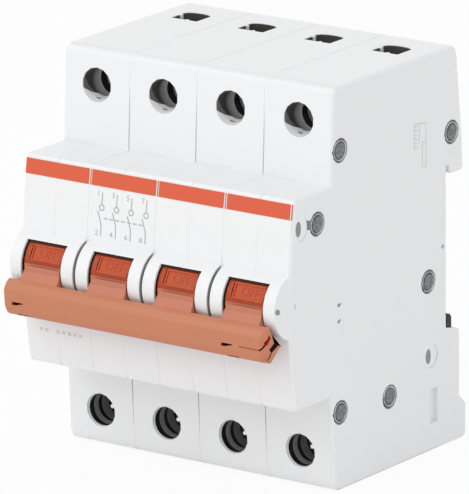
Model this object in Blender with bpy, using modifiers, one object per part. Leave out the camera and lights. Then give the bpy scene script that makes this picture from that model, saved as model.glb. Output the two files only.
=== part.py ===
"""Four-pole switch disconnector for a 35 mm DIN rail.

Four single-pole switches stand side by side, riveted together, and one bar gangs their toggles.
Each pole is two moulded half shells that meet at the pole's middle plane and hold the mechanism:
toggle, wire link, moving contact arm, fixed contact, two screw-and-cage terminals and a rail clip.

The side view is drawn in a frame with Y = 0 on the rail's seat, Y positive towards the rail, and
Z = 0 at the rail's middle. X runs across the poles. Lengths are in millimetres.
"""
import math

import bmesh
import bpy
from mathutils import Matrix, Vector

MM = 0.001

# Overall size
POLES = 4
POLE_PITCH = 17.5
HEIGHT = 88.0
NOSE_HEIGHT = 46.0
TERMINAL_DEPTH = 42.3       # rail seat to the terminal face at its outer end
JUNCTION_DEPTH = 43.3       # rail seat to the terminal face where it meets the nose
NOSE_DEPTH = 56.4           # rail seat to the nose's upper and lower edges
NOSE_CROWN = 2.1            # how far the nose's middle stands in front of its edges

# Rail and the shapes that hold it
RAIL_WIDTH = 35.0
RAIL_THICKNESS = 1.0
HOOK_OVERLAP = 1.6          # how far the hook reaches down behind the rail
HOOK_REAR = 6.6
SEAT_GROOVE_HEIGHT = 14.6   # of the two grooves that part the seat into bands
SEAT_GROOVE_WIDTH = 0.8
TOP_REAR = 3.6
FOOT_REAR = 5.1
FOOT_DROP = 1.1             # how much the foot's top falls towards the rear
HEEL_REAR = 7.5
HEEL_HEIGHT = 7.4

# Walls and gaps
GAP = 0.3                   # between pieces that meet
WALL = 1.6
SIDE_WALL = 1.2
RIM_CHAMFER = 0.45          # along the edges of the two outer side faces
CORNER_RADIUS = 2.0
NOSE_RADIUS = 1.0

# Toggle and the rounded cheeks on both sides of it
PIVOT_DEPTH = 56.3
CHEEK_RADIUS = 7.1
CHEEK_INSET = 0.45          # from the shell's outer face to the cheek's outer face
WINDOW_WIDTH = 10.6
WINDOW_TOP = 5.5
WINDOW_BOTTOM = 5.7
DRUM_RADIUS = 6.3
DRUM_SIDE_GAP = 0.35
HUB_RADIUS = 2.9
TRUNNION_RADIUS = 1.9
TRUNNION_LENGTH = 2.3
LEVER_ANGLE = 35.5          # below the horizontal, with the switch off
LEVER_THICKNESS = 3.5
LEVER_REACH = 7.4
LEVER_WIDTH = 9.4
TENON_THICKNESS = 2.4
TENON_WIDTH = 8.4
TENON_REACH = 10.0
HANDLE_TRAVEL = 68.0
LABEL_WIDTH = 7.4
LABEL_DEPTH = 0.35
LABEL_LOW = 14.0            # angles above the horizontal
LABEL_HIGH = 47.0
SEAL_HOLE_RADIUS = 0.6
SEAL_HOLE_REACH = 5.45

# Bar that gangs the toggles, seen from the end and placed by the toggle's axis
BAR_LENGTH = 68.4
BAR_SECTION = [(-8.1, -2.5), (-9.4, -2.5), (-10.1, -4.2), (-10.2, -8.5), (-9.6, -9.9), (-7.7, -10.6),
               (-4.1, -7.3), (-6.6, -5.5)]
BAR_POCKET_DEPTH = 2.6

# Wire link and moving contact arm
CRANK_RADIUS = 4.2
CRANK_ANGLE = 70.0          # above the horizontal behind the pivot, with the switch off
CRANK_LUG = 3.4
LINK_WIRE = 1.6
LINK_OFFSET = 3.2
LINK_HOLE_PLAY = 0.75
ARM_DEPTH = 32.0
ARM_DROP = 17.0
ARM_HOLE_RISE = 15.0        # link hole above the arm's pivot, with the switch on
ARM_HOLE_LEAD = 2.0         # link hole in front of the arm's pivot, with the switch on
ARM_TRAVEL = 17.85
ARM_THICKNESS = 3.0
ARM_HUB_RADIUS = 3.0
ARM_HUB_WIDTH = 6.2
ARM_PIN_RADIUS = 1.5
ARM_PIN_LENGTH = 3.6

# Terminals
SCREW_INSET = 7.9           # from the housing's end to the screw's axis
SCREW_HOLE_RADIUS = 3.8
SCREW_TUBE_WALL = 1.2
HEAD_RADIUS = 3.3
HEAD_LENGTH = 4.0
SHANK_RADIUS = 2.4
WEB = 1.6
CAGE_TRAVEL = 5.5
CAGE_LENGTH = 19.0
CAGE_WIDTH = 10.4
CAGE_HEIGHT = 10.2
CAGE_SIDE = 1.4
NUT_WALL = 3.0
CAGE_REAR_WALL = 1.6
CAGE_REAR_SPACE = 1.2       # between the cage and the housing's rear wall
CAGE_FLOOR_SPACE = 1.65     # between the cage and the terminal floor
WIRE_ROOM = 7.0
STRIP_THICKNESS = 2.0
STRIP_WIDTH = 6.6
STRIP_END = 2.4             # from the housing's end to the conductor's end
WIRE_ENTRY_WIDTH = 6.8

# Conductors inside
PAD_HEIGHT = 14.5
PAD_RADIUS = 2.0
PAD_THICKNESS = 0.6
UPPER_RUN = 19.0
FLOOR_THICKNESS = 1.2

# Rivets
RIVET_RADIUS = 1.3
RIVET_HEAD_RADIUS = 2.5
RIVET_HEAD_HEIGHT = 0.5
RIVET_BORE_RADIUS = 1.8     # the bores have six sides
RIVET_RECESS_RADIUS = 2.75
RIVET_RECESS_DEPTH = 0.8
RIVET_INSET = 3.05          # front rivets' axes behind the terminal face
BOSS_RADIUS = 2.6

# Rail clip
CLIP_THICKNESS = 3.1
CLIP_WIDTH = 14.4
CLIP_TRAVEL = 3.5
CLIP_OVERLAP = 1.7
CLIP_SLOT_WIDTH = 5.0

HALF_HEIGHT = HEIGHT / 2
HALF_NOSE = NOSE_HEIGHT / 2
OUTER_X = POLE_PITCH / 2 - GAP / 2
INNER_X = OUTER_X - SIDE_WALL
SEAM_X = GAP / 2
WINDOW_X = WINDOW_WIDTH / 2
CHEEK_X = OUTER_X - CHEEK_INSET
DRUM_X = WINDOW_X - DRUM_SIDE_GAP
SCREW_Z = HALF_HEIGHT - SCREW_INSET
FLOOR_HEIGHT = SCREW_Z - CAGE_HEIGHT / 2 - CAGE_FLOOR_SPACE - FLOOR_THICKNESS / 2
SPLIT_Z = HALF_NOSE + 0.1   # where the seam steps from the pole's middle to the lid
CAGE_BACK = -(WALL + CAGE_REAR_SPACE)
CAGE_FRONT = CAGE_BACK - CAGE_LENGTH
WEB_BACK = CAGE_FRONT - CAGE_TRAVEL - GAP
WEB_FRONT = WEB_BACK - WEB
HEAD_BACK = WEB_FRONT - GAP
HEAD_FRONT = HEAD_BACK - HEAD_LENGTH
WIRE_BACK = CAGE_BACK - CAGE_REAR_WALL
WIRE_FRONT = WIRE_BACK - WIRE_ROOM
STRIP_FRONT = WIRE_FRONT - STRIP_THICKNESS
STRIP_X = STRIP_WIDTH / 2
RAIL_TOP = RAIL_WIDTH / 2
HOOK_TIP = RAIL_TOP - HOOK_OVERLAP
FOOT_TOP = -(RAIL_TOP + 2 * GAP)
CLIP_FRONT = GAP + 0.2
CLIP_BACK = CLIP_FRONT + CLIP_THICKNESS


def behind_face(height, inset):
    """Y of a point that lies inset behind the sloping terminal face."""
    share = (HALF_HEIGHT - abs(height)) / (HALF_HEIGHT - HALF_NOSE)
    return inset - TERMINAL_DEPTH - share * (JUNCTION_DEPTH - TERMINAL_DEPTH)


# Rivet axes, each placed from the walls that it clamps
RIVETS = [
    (behind_face(HALF_NOSE + 7.1, RIVET_INSET), HALF_NOSE + 7.1),
    (1.6, RAIL_TOP + 7.6),
    (8.1 - NOSE_DEPTH, HALF_NOSE - 6.9),
    (-7.2, -6.0),
    (behind_face(HALF_NOSE + 3.9, RIVET_INSET), -HALF_NOSE - 3.9),
    (-21.8, 0.75 - FLOOR_HEIGHT),
]

FAR = 200.0                 # beyond any piece, for cutters that run right through


def new_collection(name):
    group = bpy.data.collections.new(name)
    bpy.context.scene.collection.children.link(group)
    return group


for old in list(bpy.data.objects):
    bpy.data.objects.remove(old)
PARTS = new_collection("switch_disconnector")
CUTTERS = new_collection("cutters")


# Shapes

def add_mesh(name, bm, group=CUTTERS):
    """Close the bmesh with its faces outward and keep it as an object."""
    bmesh.ops.recalc_face_normals(bm, faces=bm.faces)
    mesh = bpy.data.meshes.new(name)
    bm.to_mesh(mesh)
    bm.free()
    solid = bpy.data.objects.new(name, mesh)
    group.objects.link(solid)
    solid.hide_render = True
    solid.display_type = 'WIRE'
    return solid


def box(name, low, high):
    bm = bmesh.new()
    bmesh.ops.create_cube(bm, size=1.0)
    size = [(b - a) * MM for a, b in zip(low, high)]
    middle = [(a + b) / 2 * MM for a, b in zip(low, high)]
    bmesh.ops.scale(bm, vec=size, verts=bm.verts)
    bmesh.ops.translate(bm, vec=middle, verts=bm.verts)
    return add_mesh(name, bm)


def cylinder(name, axis, centre, radius, low, high, sides):
    """A cylinder along X, Y or Z; centre gives its two other coordinates in axis order."""
    bm = bmesh.new()
    bmesh.ops.create_cone(bm, cap_ends=True, segments=sides, radius1=radius * MM,
                          radius2=radius * MM, depth=(high - low) * MM)
    middle = (low + high) / 2
    if axis == 'X':
        turn = Matrix.Rotation(math.pi / 2, 4, 'Y')
        place = (middle, centre[0], centre[1])
    elif axis == 'Y':
        turn = Matrix.Rotation(math.pi / 2, 4, 'X')
        place = (centre[0], middle, centre[1])
    else:
        turn = Matrix.Identity(4)
        place = (centre[0], centre[1], middle)
    bmesh.ops.transform(bm, matrix=turn, verts=bm.verts)
    bmesh.ops.translate(bm, vec=[c * MM for c in place], verts=bm.verts)
    return add_mesh(name, bm)


AXES_OF_OUTLINE = {
    'X': Matrix(((0, 0, 1, 0), (1, 0, 0, 0), (0, 1, 0, 0), (0, 0, 0, 1))),
    'Z': Matrix.Identity(4),
}


def plate(name, outline, low, high, axis='X', rims=()):
    """A flat outline extruded along X (outline in Y, Z) or Z (outline in X, Y).

    rims names the sides, 1 for high and -1 for low, whose edge gets the rim chamfer.
    """
    curve = bpy.data.curves.new(name, 'CURVE')
    curve.dimensions = '2D'
    curve.fill_mode = 'BOTH'
    curve.extrude = (high - low) / 2 * MM
    spline = curve.splines.new('POLY')
    spline.points.add(len(outline) - 1)
    for point, (a, b) in zip(spline.points, outline):
        point.co = (a * MM, b * MM, 0, 1)
    spline.use_cyclic_u = True
    holder = bpy.data.objects.new(name, curve)
    CUTTERS.objects.link(holder)
    seen = holder.evaluated_get(bpy.context.evaluated_depsgraph_get())
    flat = bpy.data.meshes.new_from_object(seen)
    bpy.data.objects.remove(holder)

    bm = bmesh.new()
    bm.from_mesh(flat)
    bpy.data.meshes.remove(flat)
    bmesh.ops.remove_doubles(bm, verts=bm.verts, dist=1e-7)
    bmesh.ops.dissolve_limit(bm, angle_limit=math.radians(0.5), verts=bm.verts, edges=bm.edges)
    for side in rims:
        level = side * (high - low) / 2 * MM
        edges = [e for e in bm.edges if all(abs(v.co.z - level) < 1e-7 for v in e.verts)]
        bmesh.ops.bevel(bm, geom=edges, offset=RIM_CHAMFER * MM, segments=1, affect='EDGES')
    bmesh.ops.transform(bm, matrix=AXES_OF_OUTLINE[axis], verts=bm.verts)
    shift = Vector((0, 0, 0))
    shift['XYZ'.index(axis)] = (low + high) / 2 * MM
    bmesh.ops.translate(bm, vec=shift, verts=bm.verts)
    return add_mesh(name, bm)


def rounded(corners, steps=2):
    """Outline points with each (a, b, radius) corner turned into an arc."""
    points = []
    count = len(corners)
    for index, (a, b, radius) in enumerate(corners):
        here = Vector((a, b))
        if not radius:
            points.append((a, b))
            continue
        before = Vector(corners[index - 1][:2]) - here
        after = Vector(corners[(index + 1) % count][:2]) - here
        half_angle = before.angle(after) / 2
        setback = radius / math.tan(half_angle)
        middle = here + (before.normalized() + after.normalized()).normalized() * (
            radius / math.sin(half_angle))
        start = here + before.normalized() * setback - middle
        end = here + after.normalized() * setback - middle
        sweep = start.angle_signed(end)
        for step in range(steps + 1):
            spoke = start.copy()
            spoke.rotate(Matrix.Rotation(-sweep * step / steps, 2))
            points.append(tuple(middle + spoke))
    return points


def sheet_path(points, thickness):
    """Outline of a strip of even thickness bent along points, sharp at the bends."""
    def offset(side):
        edge = []
        for index, here in enumerate(points):
            here = Vector(here)
            spans = []
            if index:
                spans.append((here - Vector(points[index - 1])).normalized())
            if index < len(points) - 1:
                spans.append((Vector(points[index + 1]) - here).normalized())
            along = sum(spans, Vector((0, 0))).normalized()
            normal = Vector((-along.y, along.x))
            stretch = 1 / abs(normal.dot(Vector((-spans[0].y, spans[0].x))))
            edge.append(tuple(here + normal * side * thickness / 2 * stretch))
        return edge
    return offset(1) + offset(-1)[::-1]


def turned(name, profile, sides):
    """A body of revolution about Z from (radius, height) points listed top to bottom."""
    bm = bmesh.new()
    verts = [bm.verts.new((r * MM, 0, h * MM)) for r, h in profile]
    for one, two in zip(verts, verts[1:]):
        bm.edges.new((one, two))
    mesh = bpy.data.meshes.new(name)
    bm.to_mesh(mesh)
    bm.free()
    solid = bpy.data.objects.new(name, mesh)
    CUTTERS.objects.link(solid)
    screw = solid.modifiers.new("turn", 'SCREW')
    screw.steps = sides
    screw.render_steps = sides
    screw.use_merge_vertices = True
    screw.merge_threshold = 1e-6
    solid.hide_render = True
    solid.display_type = 'WIRE'
    return solid


def combine(target, operation, others):
    """Add one exact Boolean for each of the other solids to the target."""
    for other in others:
        step = target.modifiers.new(other.name, 'BOOLEAN')
        step.operation = operation
        step.solver = 'EXACT'
        step.object = other
    return target


def bake(solid):
    """The solid's mesh after its modifiers."""
    seen = solid.evaluated_get(bpy.context.evaluated_depsgraph_get())
    mesh = bpy.data.meshes.new_from_object(seen)
    mesh.materials.clear()
    return mesh


def mirrored(mesh):
    """A copy of the mesh on the other side of the X = 0 plane."""
    bm = bmesh.new()
    bm.from_mesh(mesh)
    bmesh.ops.scale(bm, vec=(-1, 1, 1), verts=bm.verts)
    bmesh.ops.reverse_faces(bm, faces=bm.faces)
    copy = bpy.data.meshes.new(mesh.name + "_mirrored")
    bm.to_mesh(copy)
    bm.free()
    return copy


def material(name, colour, roughness, metallic=0.0):
    finish = bpy.data.materials.new(name)
    finish.use_nodes = True
    shader = finish.node_tree.nodes["Principled BSDF"]
    shader.inputs["Base Color"].default_value = (*colour, 1.0)
    shader.inputs["Roughness"].default_value = roughness
    shader.inputs["Metallic"].default_value = metallic
    return finish


def place(name, mesh, finish, parent, at=(0, 0, 0)):
    """One sub-part: a named object whose origin is at a point of its parent's frame."""
    if not mesh.materials:
        mesh.materials.append(finish)
    mesh.shade_smooth()
    mesh.set_sharp_from_angle(angle=math.radians(25))
    part = bpy.data.objects.new(name, mesh)
    PARTS.objects.link(part)
    part.parent = parent
    part.location = [c * MM for c in at]
    return part


def empty(name, parent, at):
    marker = bpy.data.objects.new(name, None)
    PARTS.objects.link(marker)
    marker.parent = parent
    marker.location = [c * MM for c in at]
    return marker


# Mechanism geometry in the side view

def polar(centre, radius, degrees):
    angle = math.radians(degrees)
    return (centre[0] + radius * math.cos(angle), centre[1] + radius * math.sin(angle))


def circles_meet(centre_a, radius_a, centre_b, radius_b):
    """The upper of the two points where two circles cross."""
    a, b = Vector(centre_a), Vector(centre_b)
    span = (b - a).length
    along = (radius_a ** 2 - radius_b ** 2 + span ** 2) / (2 * span)
    across = math.sqrt(radius_a ** 2 - along ** 2)
    unit = (b - a) / span
    foot = a + unit * along
    side = Vector((-unit.y, unit.x)) * across
    return tuple(max(foot + side, foot - side, key=lambda p: p.y))


PIVOT = (-PIVOT_DEPTH, 0.0)
CRANK = polar(PIVOT, CRANK_RADIUS, CRANK_ANGLE)
CRANK_ON = polar(PIVOT, CRANK_RADIUS, CRANK_ANGLE - HANDLE_TRAVEL)
ARM_PIVOT = (-ARM_DEPTH, -ARM_DROP)
ARM_HOLE_ON = (ARM_PIVOT[0] - ARM_HOLE_LEAD, ARM_PIVOT[1] + ARM_HOLE_RISE)
ARM_CRANK = math.hypot(ARM_HOLE_LEAD, ARM_HOLE_RISE)
LINK_LENGTH = math.dist(CRANK_ON, ARM_HOLE_ON)
LINK_END = circles_meet(CRANK, LINK_LENGTH, ARM_PIVOT, ARM_CRANK)
ARM_OFF_ANGLE = math.degrees(math.atan2(LINK_END[1] - ARM_PIVOT[1], LINK_END[0] - ARM_PIVOT[0]))
ARM_ON_ANGLE = ARM_OFF_ANGLE - ARM_TRAVEL


# Housing outline

def nose_front(depth, half_height, crown, steps):
    """Points of the nose's bowed front from bottom to top, without its two corners."""
    points = []
    for step in range(1, steps):
        share = 2 * step / steps - 1
        points.append((-(depth + crown * (1 - share ** 2)), half_height * share, 0))
    return points


def housing_outline():
    """The housing's side view: terminal faces, nose, rail hook and foot."""
    slot_back = RAIL_THICKNESS + GAP
    corners = [
        (-TERMINAL_DEPTH, HALF_HEIGHT, CORNER_RADIUS),
        (TOP_REAR, HALF_HEIGHT, CORNER_RADIUS),
        (HOOK_REAR, HOOK_TIP, NOSE_RADIUS),
        (slot_back + 0.6, HOOK_TIP, 0),
        (slot_back, HOOK_TIP + 0.9, 0),
        (slot_back, RAIL_TOP + GAP, 0),
        (0, RAIL_TOP + GAP, 0),
        (0, FOOT_TOP, 0),
        (FOOT_REAR, FOOT_TOP - FOOT_DROP, CORNER_RADIUS / 2),
        (FOOT_REAR, HEEL_HEIGHT - HALF_HEIGHT + HEEL_REAR - FOOT_REAR, 0),
        (HEEL_REAR, HEEL_HEIGHT - HALF_HEIGHT, 0),
        (HEEL_REAR, -HALF_HEIGHT, NOSE_RADIUS),
        (-TERMINAL_DEPTH, -HALF_HEIGHT, CORNER_RADIUS),
        (-JUNCTION_DEPTH, -HALF_NOSE, 0),
        (-NOSE_DEPTH, -HALF_NOSE, NOSE_RADIUS),
        *nose_front(NOSE_DEPTH, HALF_NOSE, NOSE_CROWN, 6),
        (-NOSE_DEPTH, HALF_NOSE, NOSE_RADIUS),
        (-JUNCTION_DEPTH, HALF_NOSE, 0),
    ]
    return rounded(corners)


def cavity_outline(inset=WALL):
    """The hollow inside: inset from the outside, flat behind."""
    top = HALF_HEIGHT - inset
    nose = HALF_NOSE - inset
    return [
        (inset - TERMINAL_DEPTH, top),
        (-inset, top),
        (-inset, -top),
        (inset - TERMINAL_DEPTH, -top),
        (inset - JUNCTION_DEPTH, -nose),
        (inset - NOSE_DEPTH, -nose),
        *[(y, z) for y, z, _ in nose_front(NOSE_DEPTH - inset, nose, NOSE_CROWN, 4)],
        (inset - NOSE_DEPTH, nose),
        (inset - JUNCTION_DEPTH, nose),
    ]


def wire_entry_outline():
    """Plan of the wire's way in: flat in front, arched behind."""
    half = WIRE_ENTRY_WIDTH / 2
    front = WIRE_FRONT + GAP
    back = WIRE_BACK - GAP / 2
    bow = half * 0.45
    arch = [(half * math.cos(a), back - bow + bow * math.sin(a))
            for a in [math.pi * step / 6 for step in range(7)]]
    return [(-half, front), (half, front)] + arch


# Two shells for each pole. In the nose they meet at the pole's middle. Above and below it the body
# holds the whole terminal chamber and the cover is a lid inside the chamber's open left side.

def nose_parts():
    """What both shells add and cut around the toggle and the contact arm, for the right side."""
    cheek = cylinder("cheek", 'X', PIVOT, CHEEK_RADIUS - 0.1, WINDOW_X - 0.5, CHEEK_X - 0.1, 16)
    arm_face = ARM_HUB_WIDTH / 2 + GAP
    arm_boss = cylinder("arm_boss", 'X', ARM_PIVOT, ARM_PIN_RADIUS + 1.6, arm_face, INNER_X + 0.3, 6)
    drum_room = cylinder("drum_room", 'X', PIVOT, DRUM_RADIUS + GAP, -2, WINDOW_X, 20)
    window = box("toggle_window", (-2, -FAR, -WINDOW_BOTTOM),
                 (WINDOW_X, -PIVOT_DEPTH - 1.2, WINDOW_TOP))
    combine(drum_room, 'UNION', [window])
    bearing = cylinder("trunnion_bore", 'X', PIVOT, TRUNNION_RADIUS + GAP / 2, WINDOW_X - 1,
                       DRUM_X + TRUNNION_LENGTH + GAP, 10)
    seal = cylinder("seal_hole", 'X', (-PIVOT_DEPTH - SEAL_HOLE_REACH, 0), SEAL_HOLE_RADIUS,
                    WINDOW_X - 1, FAR, 6)
    arm_bore = cylinder("arm_bore", 'X', ARM_PIVOT, ARM_PIN_RADIUS + GAP / 2, arm_face - 1,
                        ARM_HUB_WIDTH / 2 + ARM_PIN_LENGTH + GAP, 8)
    return [cheek, arm_boss], [drum_room, bearing, seal, arm_bore]


def terminal_parts(side):
    """What the body adds and cuts at its upper (1) or lower (-1) terminal."""
    tag = "upper" if side > 0 else "lower"
    z = side * SCREW_Z
    floor = side * FLOOR_HEIGHT
    tube = cylinder(f"{tag}_screw_tube", 'Y', (0, z), SCREW_HOLE_RADIUS + SCREW_TUBE_WALL,
                    -TERMINAL_DEPTH + WALL / 2, WEB_BACK, 10)
    shelf = box(f"{tag}_terminal_floor", (GAP - INNER_X, WEB_BACK - 1, floor - FLOOR_THICKNESS / 2),
                (INNER_X + 0.5, -WALL / 2, floor + FLOOR_THICKNESS / 2))
    access = cylinder(f"{tag}_screw_hole", 'Y', (0, z), SCREW_HOLE_RADIUS, -FAR, WEB_FRONT, 14)
    shank = cylinder(f"{tag}_shank_hole", 'Y', (0, z), SHANK_RADIUS + GAP * 1.3, WEB_FRONT - 1,
                     WEB_BACK + 1, 8)
    slot_low, slot_high = sorted((floor - 2 * side, floor + 2 * side))
    strip_slot = box(f"{tag}_strip_slot", (-STRIP_X - GAP, STRIP_FRONT - GAP, slot_low),
                     (STRIP_X + GAP, WIRE_FRONT + GAP, slot_high))
    entry_low, entry_high = sorted((side * (HALF_HEIGHT - WALL - 1), side * (HALF_HEIGHT + 1)))
    entry = plate(f"{tag}_wire_entry", wire_entry_outline(), entry_low, entry_high, 'Z')
    return [tube, shelf], [access, shank, strip_slot, entry]


def cage_guide(side, front):
    """Rib on a side wall that keeps one cage from turning."""
    return box("cage_guide", (CAGE_WIDTH / 2 + GAP, front, side * SCREW_Z - 1),
               (INNER_X + 0.5, -WALL - GAP, side * SCREW_Z + 1))


def in_nose(z):
    return abs(z) < SPLIT_Z


def rivet_boss(number, low):
    y, z = RIVETS[number]
    return cylinder(f"boss_{number + 1}", 'X', (y, z), BOSS_RADIUS, low, INNER_X + 0.3, 6)


def rivet_bores():
    return [cylinder("rivet_bore", 'X', centre, RIVET_BORE_RADIUS, -FAR, FAR, 6) for centre in RIVETS]


def head_recesses(low, high):
    return [cylinder("rivet_recess", 'X', centre, RIVET_RECESS_RADIUS, low, high, 12)
            for centre in RIVETS]


def rail_cuts():
    """Slot for the clip, and grooves that leave the seat's middle band clear of hook and clip."""
    half = CLIP_WIDTH / 2 + GAP
    cuts = [box("clip_slot", (-half, CLIP_FRONT - GAP, -FAR), (half, CLIP_BACK + GAP, FOOT_TOP + 1))]
    for side in (1, -1):
        z = side * SEAT_GROOVE_HEIGHT
        cuts.append(box("seat_groove", (-FAR, -GAP, z - SEAT_GROOVE_WIDTH / 2),
                        (FAR, GAP, z + SEAT_GROOVE_WIDTH / 2)))
    return cuts


def body_shell(name, left_end=False, right_end=False):
    """The right half of a pole's nose and its whole terminal chambers."""
    rims = [side for side, end in ((-1, left_end), (1, right_end)) if end]
    shell = plate(name, housing_outline(), -OUTER_X, OUTER_X, rims=rims)
    bulge = cylinder("cheek_bulge", 'X', PIVOT, CHEEK_RADIUS, -0.9, CHEEK_X, 24)
    cavity = plate("cavity", cavity_outline(), -FAR, INNER_X)
    adds, cuts = nose_parts()
    for number, (y, z) in enumerate(RIVETS):
        adds.append(rivet_boss(number, -0.7 if in_nose(z) else GAP - INNER_X))
    for side in (1, -1):
        more, less = terminal_parts(side)
        adds += more + [cage_guide(side, WEB_BACK - 1)]
        cuts += less
    cuts += [*rail_cuts(), *rivet_bores()]
    if right_end:
        cuts += head_recesses(OUTER_X - RIVET_RECESS_DEPTH, FAR)
        cuts += end_face_cuts()
    if left_end:
        cuts += head_recesses(-FAR, RIVET_RECESS_DEPTH - OUTER_X)
    seam = box("nose_seam", (-FAR, -FAR, -SPLIT_Z - GAP), (SEAM_X, FAR, SPLIT_Z + GAP))
    combine(shell, 'UNION', [bulge])
    combine(shell, 'DIFFERENCE', [cavity])
    combine(shell, 'UNION', adds)
    combine(shell, 'DIFFERENCE', [*cuts, seam])
    return bake(shell)


def cover_shell(name, end=False):
    """The left half of the nose with the lids of both terminal chambers, drawn mirrored."""
    shell = plate(name, housing_outline(), -1, OUTER_X, rims=(1,) if end else ())
    bulge = cylinder("cheek_bulge", 'X', PIVOT, CHEEK_RADIUS, -0.9, CHEEK_X, 24)
    cavity = plate("cavity", cavity_outline(), -2, INNER_X)
    adds, cuts = nose_parts()
    adds += [rivet_boss(number, -0.7) for number, (y, z) in enumerate(RIVETS) if in_nose(z)]
    adds += [cage_guide(side, WEB_BACK + GAP) for side in (1, -1)]
    cuts += [*rail_cuts(), *rivet_bores()]
    if end:
        cuts += head_recesses(OUTER_X - RIVET_RECESS_DEPTH, FAR)
    keep = plate("lids", cavity_outline(WALL + GAP), 1, FAR)
    nose = box("nose_half", (SEAM_X, -FAR, -SPLIT_Z), (2 * FAR, FAR, SPLIT_Z))
    combine(keep, 'UNION', [nose])
    combine(shell, 'UNION', [bulge])
    combine(shell, 'DIFFERENCE', [cavity])
    combine(shell, 'UNION', adds)
    combine(shell, 'DIFFERENCE', cuts)
    combine(shell, 'INTERSECT', [keep])
    return mirrored(bake(shell))


def end_face_cuts():
    """Shallow forms moulded into an outer side face."""
    rear, foot = -1.4, -3.4
    strip = rounded([(rear, RAIL_TOP + 4, 3), (FAR, RAIL_TOP + 4, 0), (FAR, -FAR, 0), (foot, -FAR, 0),
                     (foot, -RAIL_TOP - 4.5, 2), (rear, -RAIL_TOP - 1, 2)])
    spare = (-6.2, -RAIL_TOP - 5.3)
    return [
        plate("rear_strip_step", strip, OUTER_X - 0.35, FAR),
        cylinder("spare_rivet_recess", 'X', spare, 2.5, OUTER_X - 0.9, FAR, 12),
        cylinder("spare_rivet_dimple", 'X', (spare[0] - 1.2, spare[1]), 0.7, OUTER_X - 1.1, FAR, 8),
        box("side_slot", (OUTER_X - 1.0, -6.5, 6.1 - HALF_HEIGHT), (FAR, -3.7, 13.8 - HALF_HEIGHT)),
        cylinder("side_dimple", 'X', (1.0 - NOSE_DEPTH, HALF_NOSE - 6.4), 1.6, OUTER_X - 0.7, FAR, 10),
    ]


# Toggle and bar

def along_lever(reach, offset, angle=LEVER_ANGLE):
    """A point of the toggle's own frame, out along the lever and above its middle."""
    turn = math.radians(angle)
    return (-reach * math.cos(turn) - offset * math.sin(turn),
            -reach * math.sin(turn) + offset * math.cos(turn))


def lever_bar(name, start, reach, thickness, width):
    half = thickness / 2
    outline = [along_lever(start, -half), along_lever(start, half), along_lever(reach, half),
               along_lever(reach, -half)]
    return plate(name, outline, -width / 2, width / 2)


def toggle_mesh():
    """Drum with lever, tenon, trunnions and the rear lug that carries the link."""
    drum = cylinder("drum", 'X', (0, 0), DRUM_RADIUS, -DRUM_X, DRUM_X, 24)
    rear_cut = []
    for side in (1, -1):
        low, high = sorted((side * CRANK_LUG / 2, side * (DRUM_X + 1)))
        rear_cut.append(box("drum_rear_cut", (low, 0.2, 0.0), (high, FAR, FAR)))
    hub = cylinder("hub", 'X', (0, 0), HUB_RADIUS, 0.2 - DRUM_X, DRUM_X - 0.2, 12)
    reach = DRUM_X + TRUNNION_LENGTH
    pin = cylinder("trunnion", 'X', (0, 0), TRUNNION_RADIUS, -reach, reach, 12)
    lever = lever_bar("lever", 2, LEVER_REACH, LEVER_THICKNESS, LEVER_WIDTH)
    tenon = lever_bar("tenon", 2, TENON_REACH, TENON_THICKNESS, TENON_WIDTH)
    crank_hole = cylinder("crank_hole", 'X', polar((0, 0), CRANK_RADIUS, CRANK_ANGLE),
                          LINK_WIRE / 2 + GAP, -DRUM_X - 1, DRUM_X + 1, 10)
    middle = (LABEL_LOW + LABEL_HIGH) / 2
    spread = DRUM_RADIUS * math.sin(math.radians((LABEL_HIGH - LABEL_LOW) / 2))
    floor = DRUM_RADIUS - LABEL_DEPTH - 0.25
    frame = [along_lever(floor, -spread, -middle), along_lever(floor, spread, -middle),
             along_lever(DRUM_RADIUS + 1, spread, -middle),
             along_lever(DRUM_RADIUS + 1, -spread, -middle)]
    label = plate("label_pocket", frame, -LABEL_WIDTH / 2, LABEL_WIDTH / 2)
    combine(drum, 'DIFFERENCE', rear_cut)
    combine(drum, 'UNION', [hub, pin, lever, tenon])
    combine(drum, 'DIFFERENCE', [crank_hole, label])
    return bake(drum)


def bar_mesh():
    """The bar across all the poles, with a pocket for each toggle's tenon and open ends."""
    half = BAR_LENGTH / 2
    bar = plate("bar", BAR_SECTION, -half, half)
    cuts = []
    for pole in range(POLES):
        x = pole_x(pole)
        outline = [along_lever(LEVER_REACH - 2, -TENON_THICKNESS / 2 - GAP),
                   along_lever(LEVER_REACH - 2, TENON_THICKNESS / 2 + GAP),
                   along_lever(TENON_REACH + GAP, TENON_THICKNESS / 2 + GAP),
                   along_lever(TENON_REACH + GAP, -TENON_THICKNESS / 2 - GAP)]
        cuts.append(plate(f"tenon_pocket_{pole + 1}", outline, x - TENON_WIDTH / 2 - GAP,
                          x + TENON_WIDTH / 2 + GAP))
    front_pocket = [(-8.7, -4.0), (-8.0, -4.8), (-9.0, -6.3), (-9.7, -5.4)]
    rear_pocket = [(-7.2, -6.1), (-5.2, -7.2), (-7.8, -8.9), (-8.6, -7.5)]
    for low, high in ((half - BAR_POCKET_DEPTH, FAR), (-FAR, BAR_POCKET_DEPTH - half)):
        cuts.append(plate("bar_end_pocket", front_pocket, low, high))
        cuts.append(plate("bar_end_pocket", rear_pocket, low, high))
    for x in (5.9 - half, half - 11.4):
        cuts.append(box("bar_front_slot", (x - 1.5, -FAR, -7.7), (x + 1.5, -9.5, -7.1)))
        cuts.append(box("bar_edge_slot", (x + 0.7, -FAR, -9.6), (x + 3.3, -9.2, -9.2)))
    cuts.append(box("bar_groove", (half - 6.4, -FAR, -7.4), (half - 0.9, -9.85, -7.0)))
    combine(bar, 'DIFFERENCE', cuts)
    return bake(bar)


# Wire link and contact arm

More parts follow.
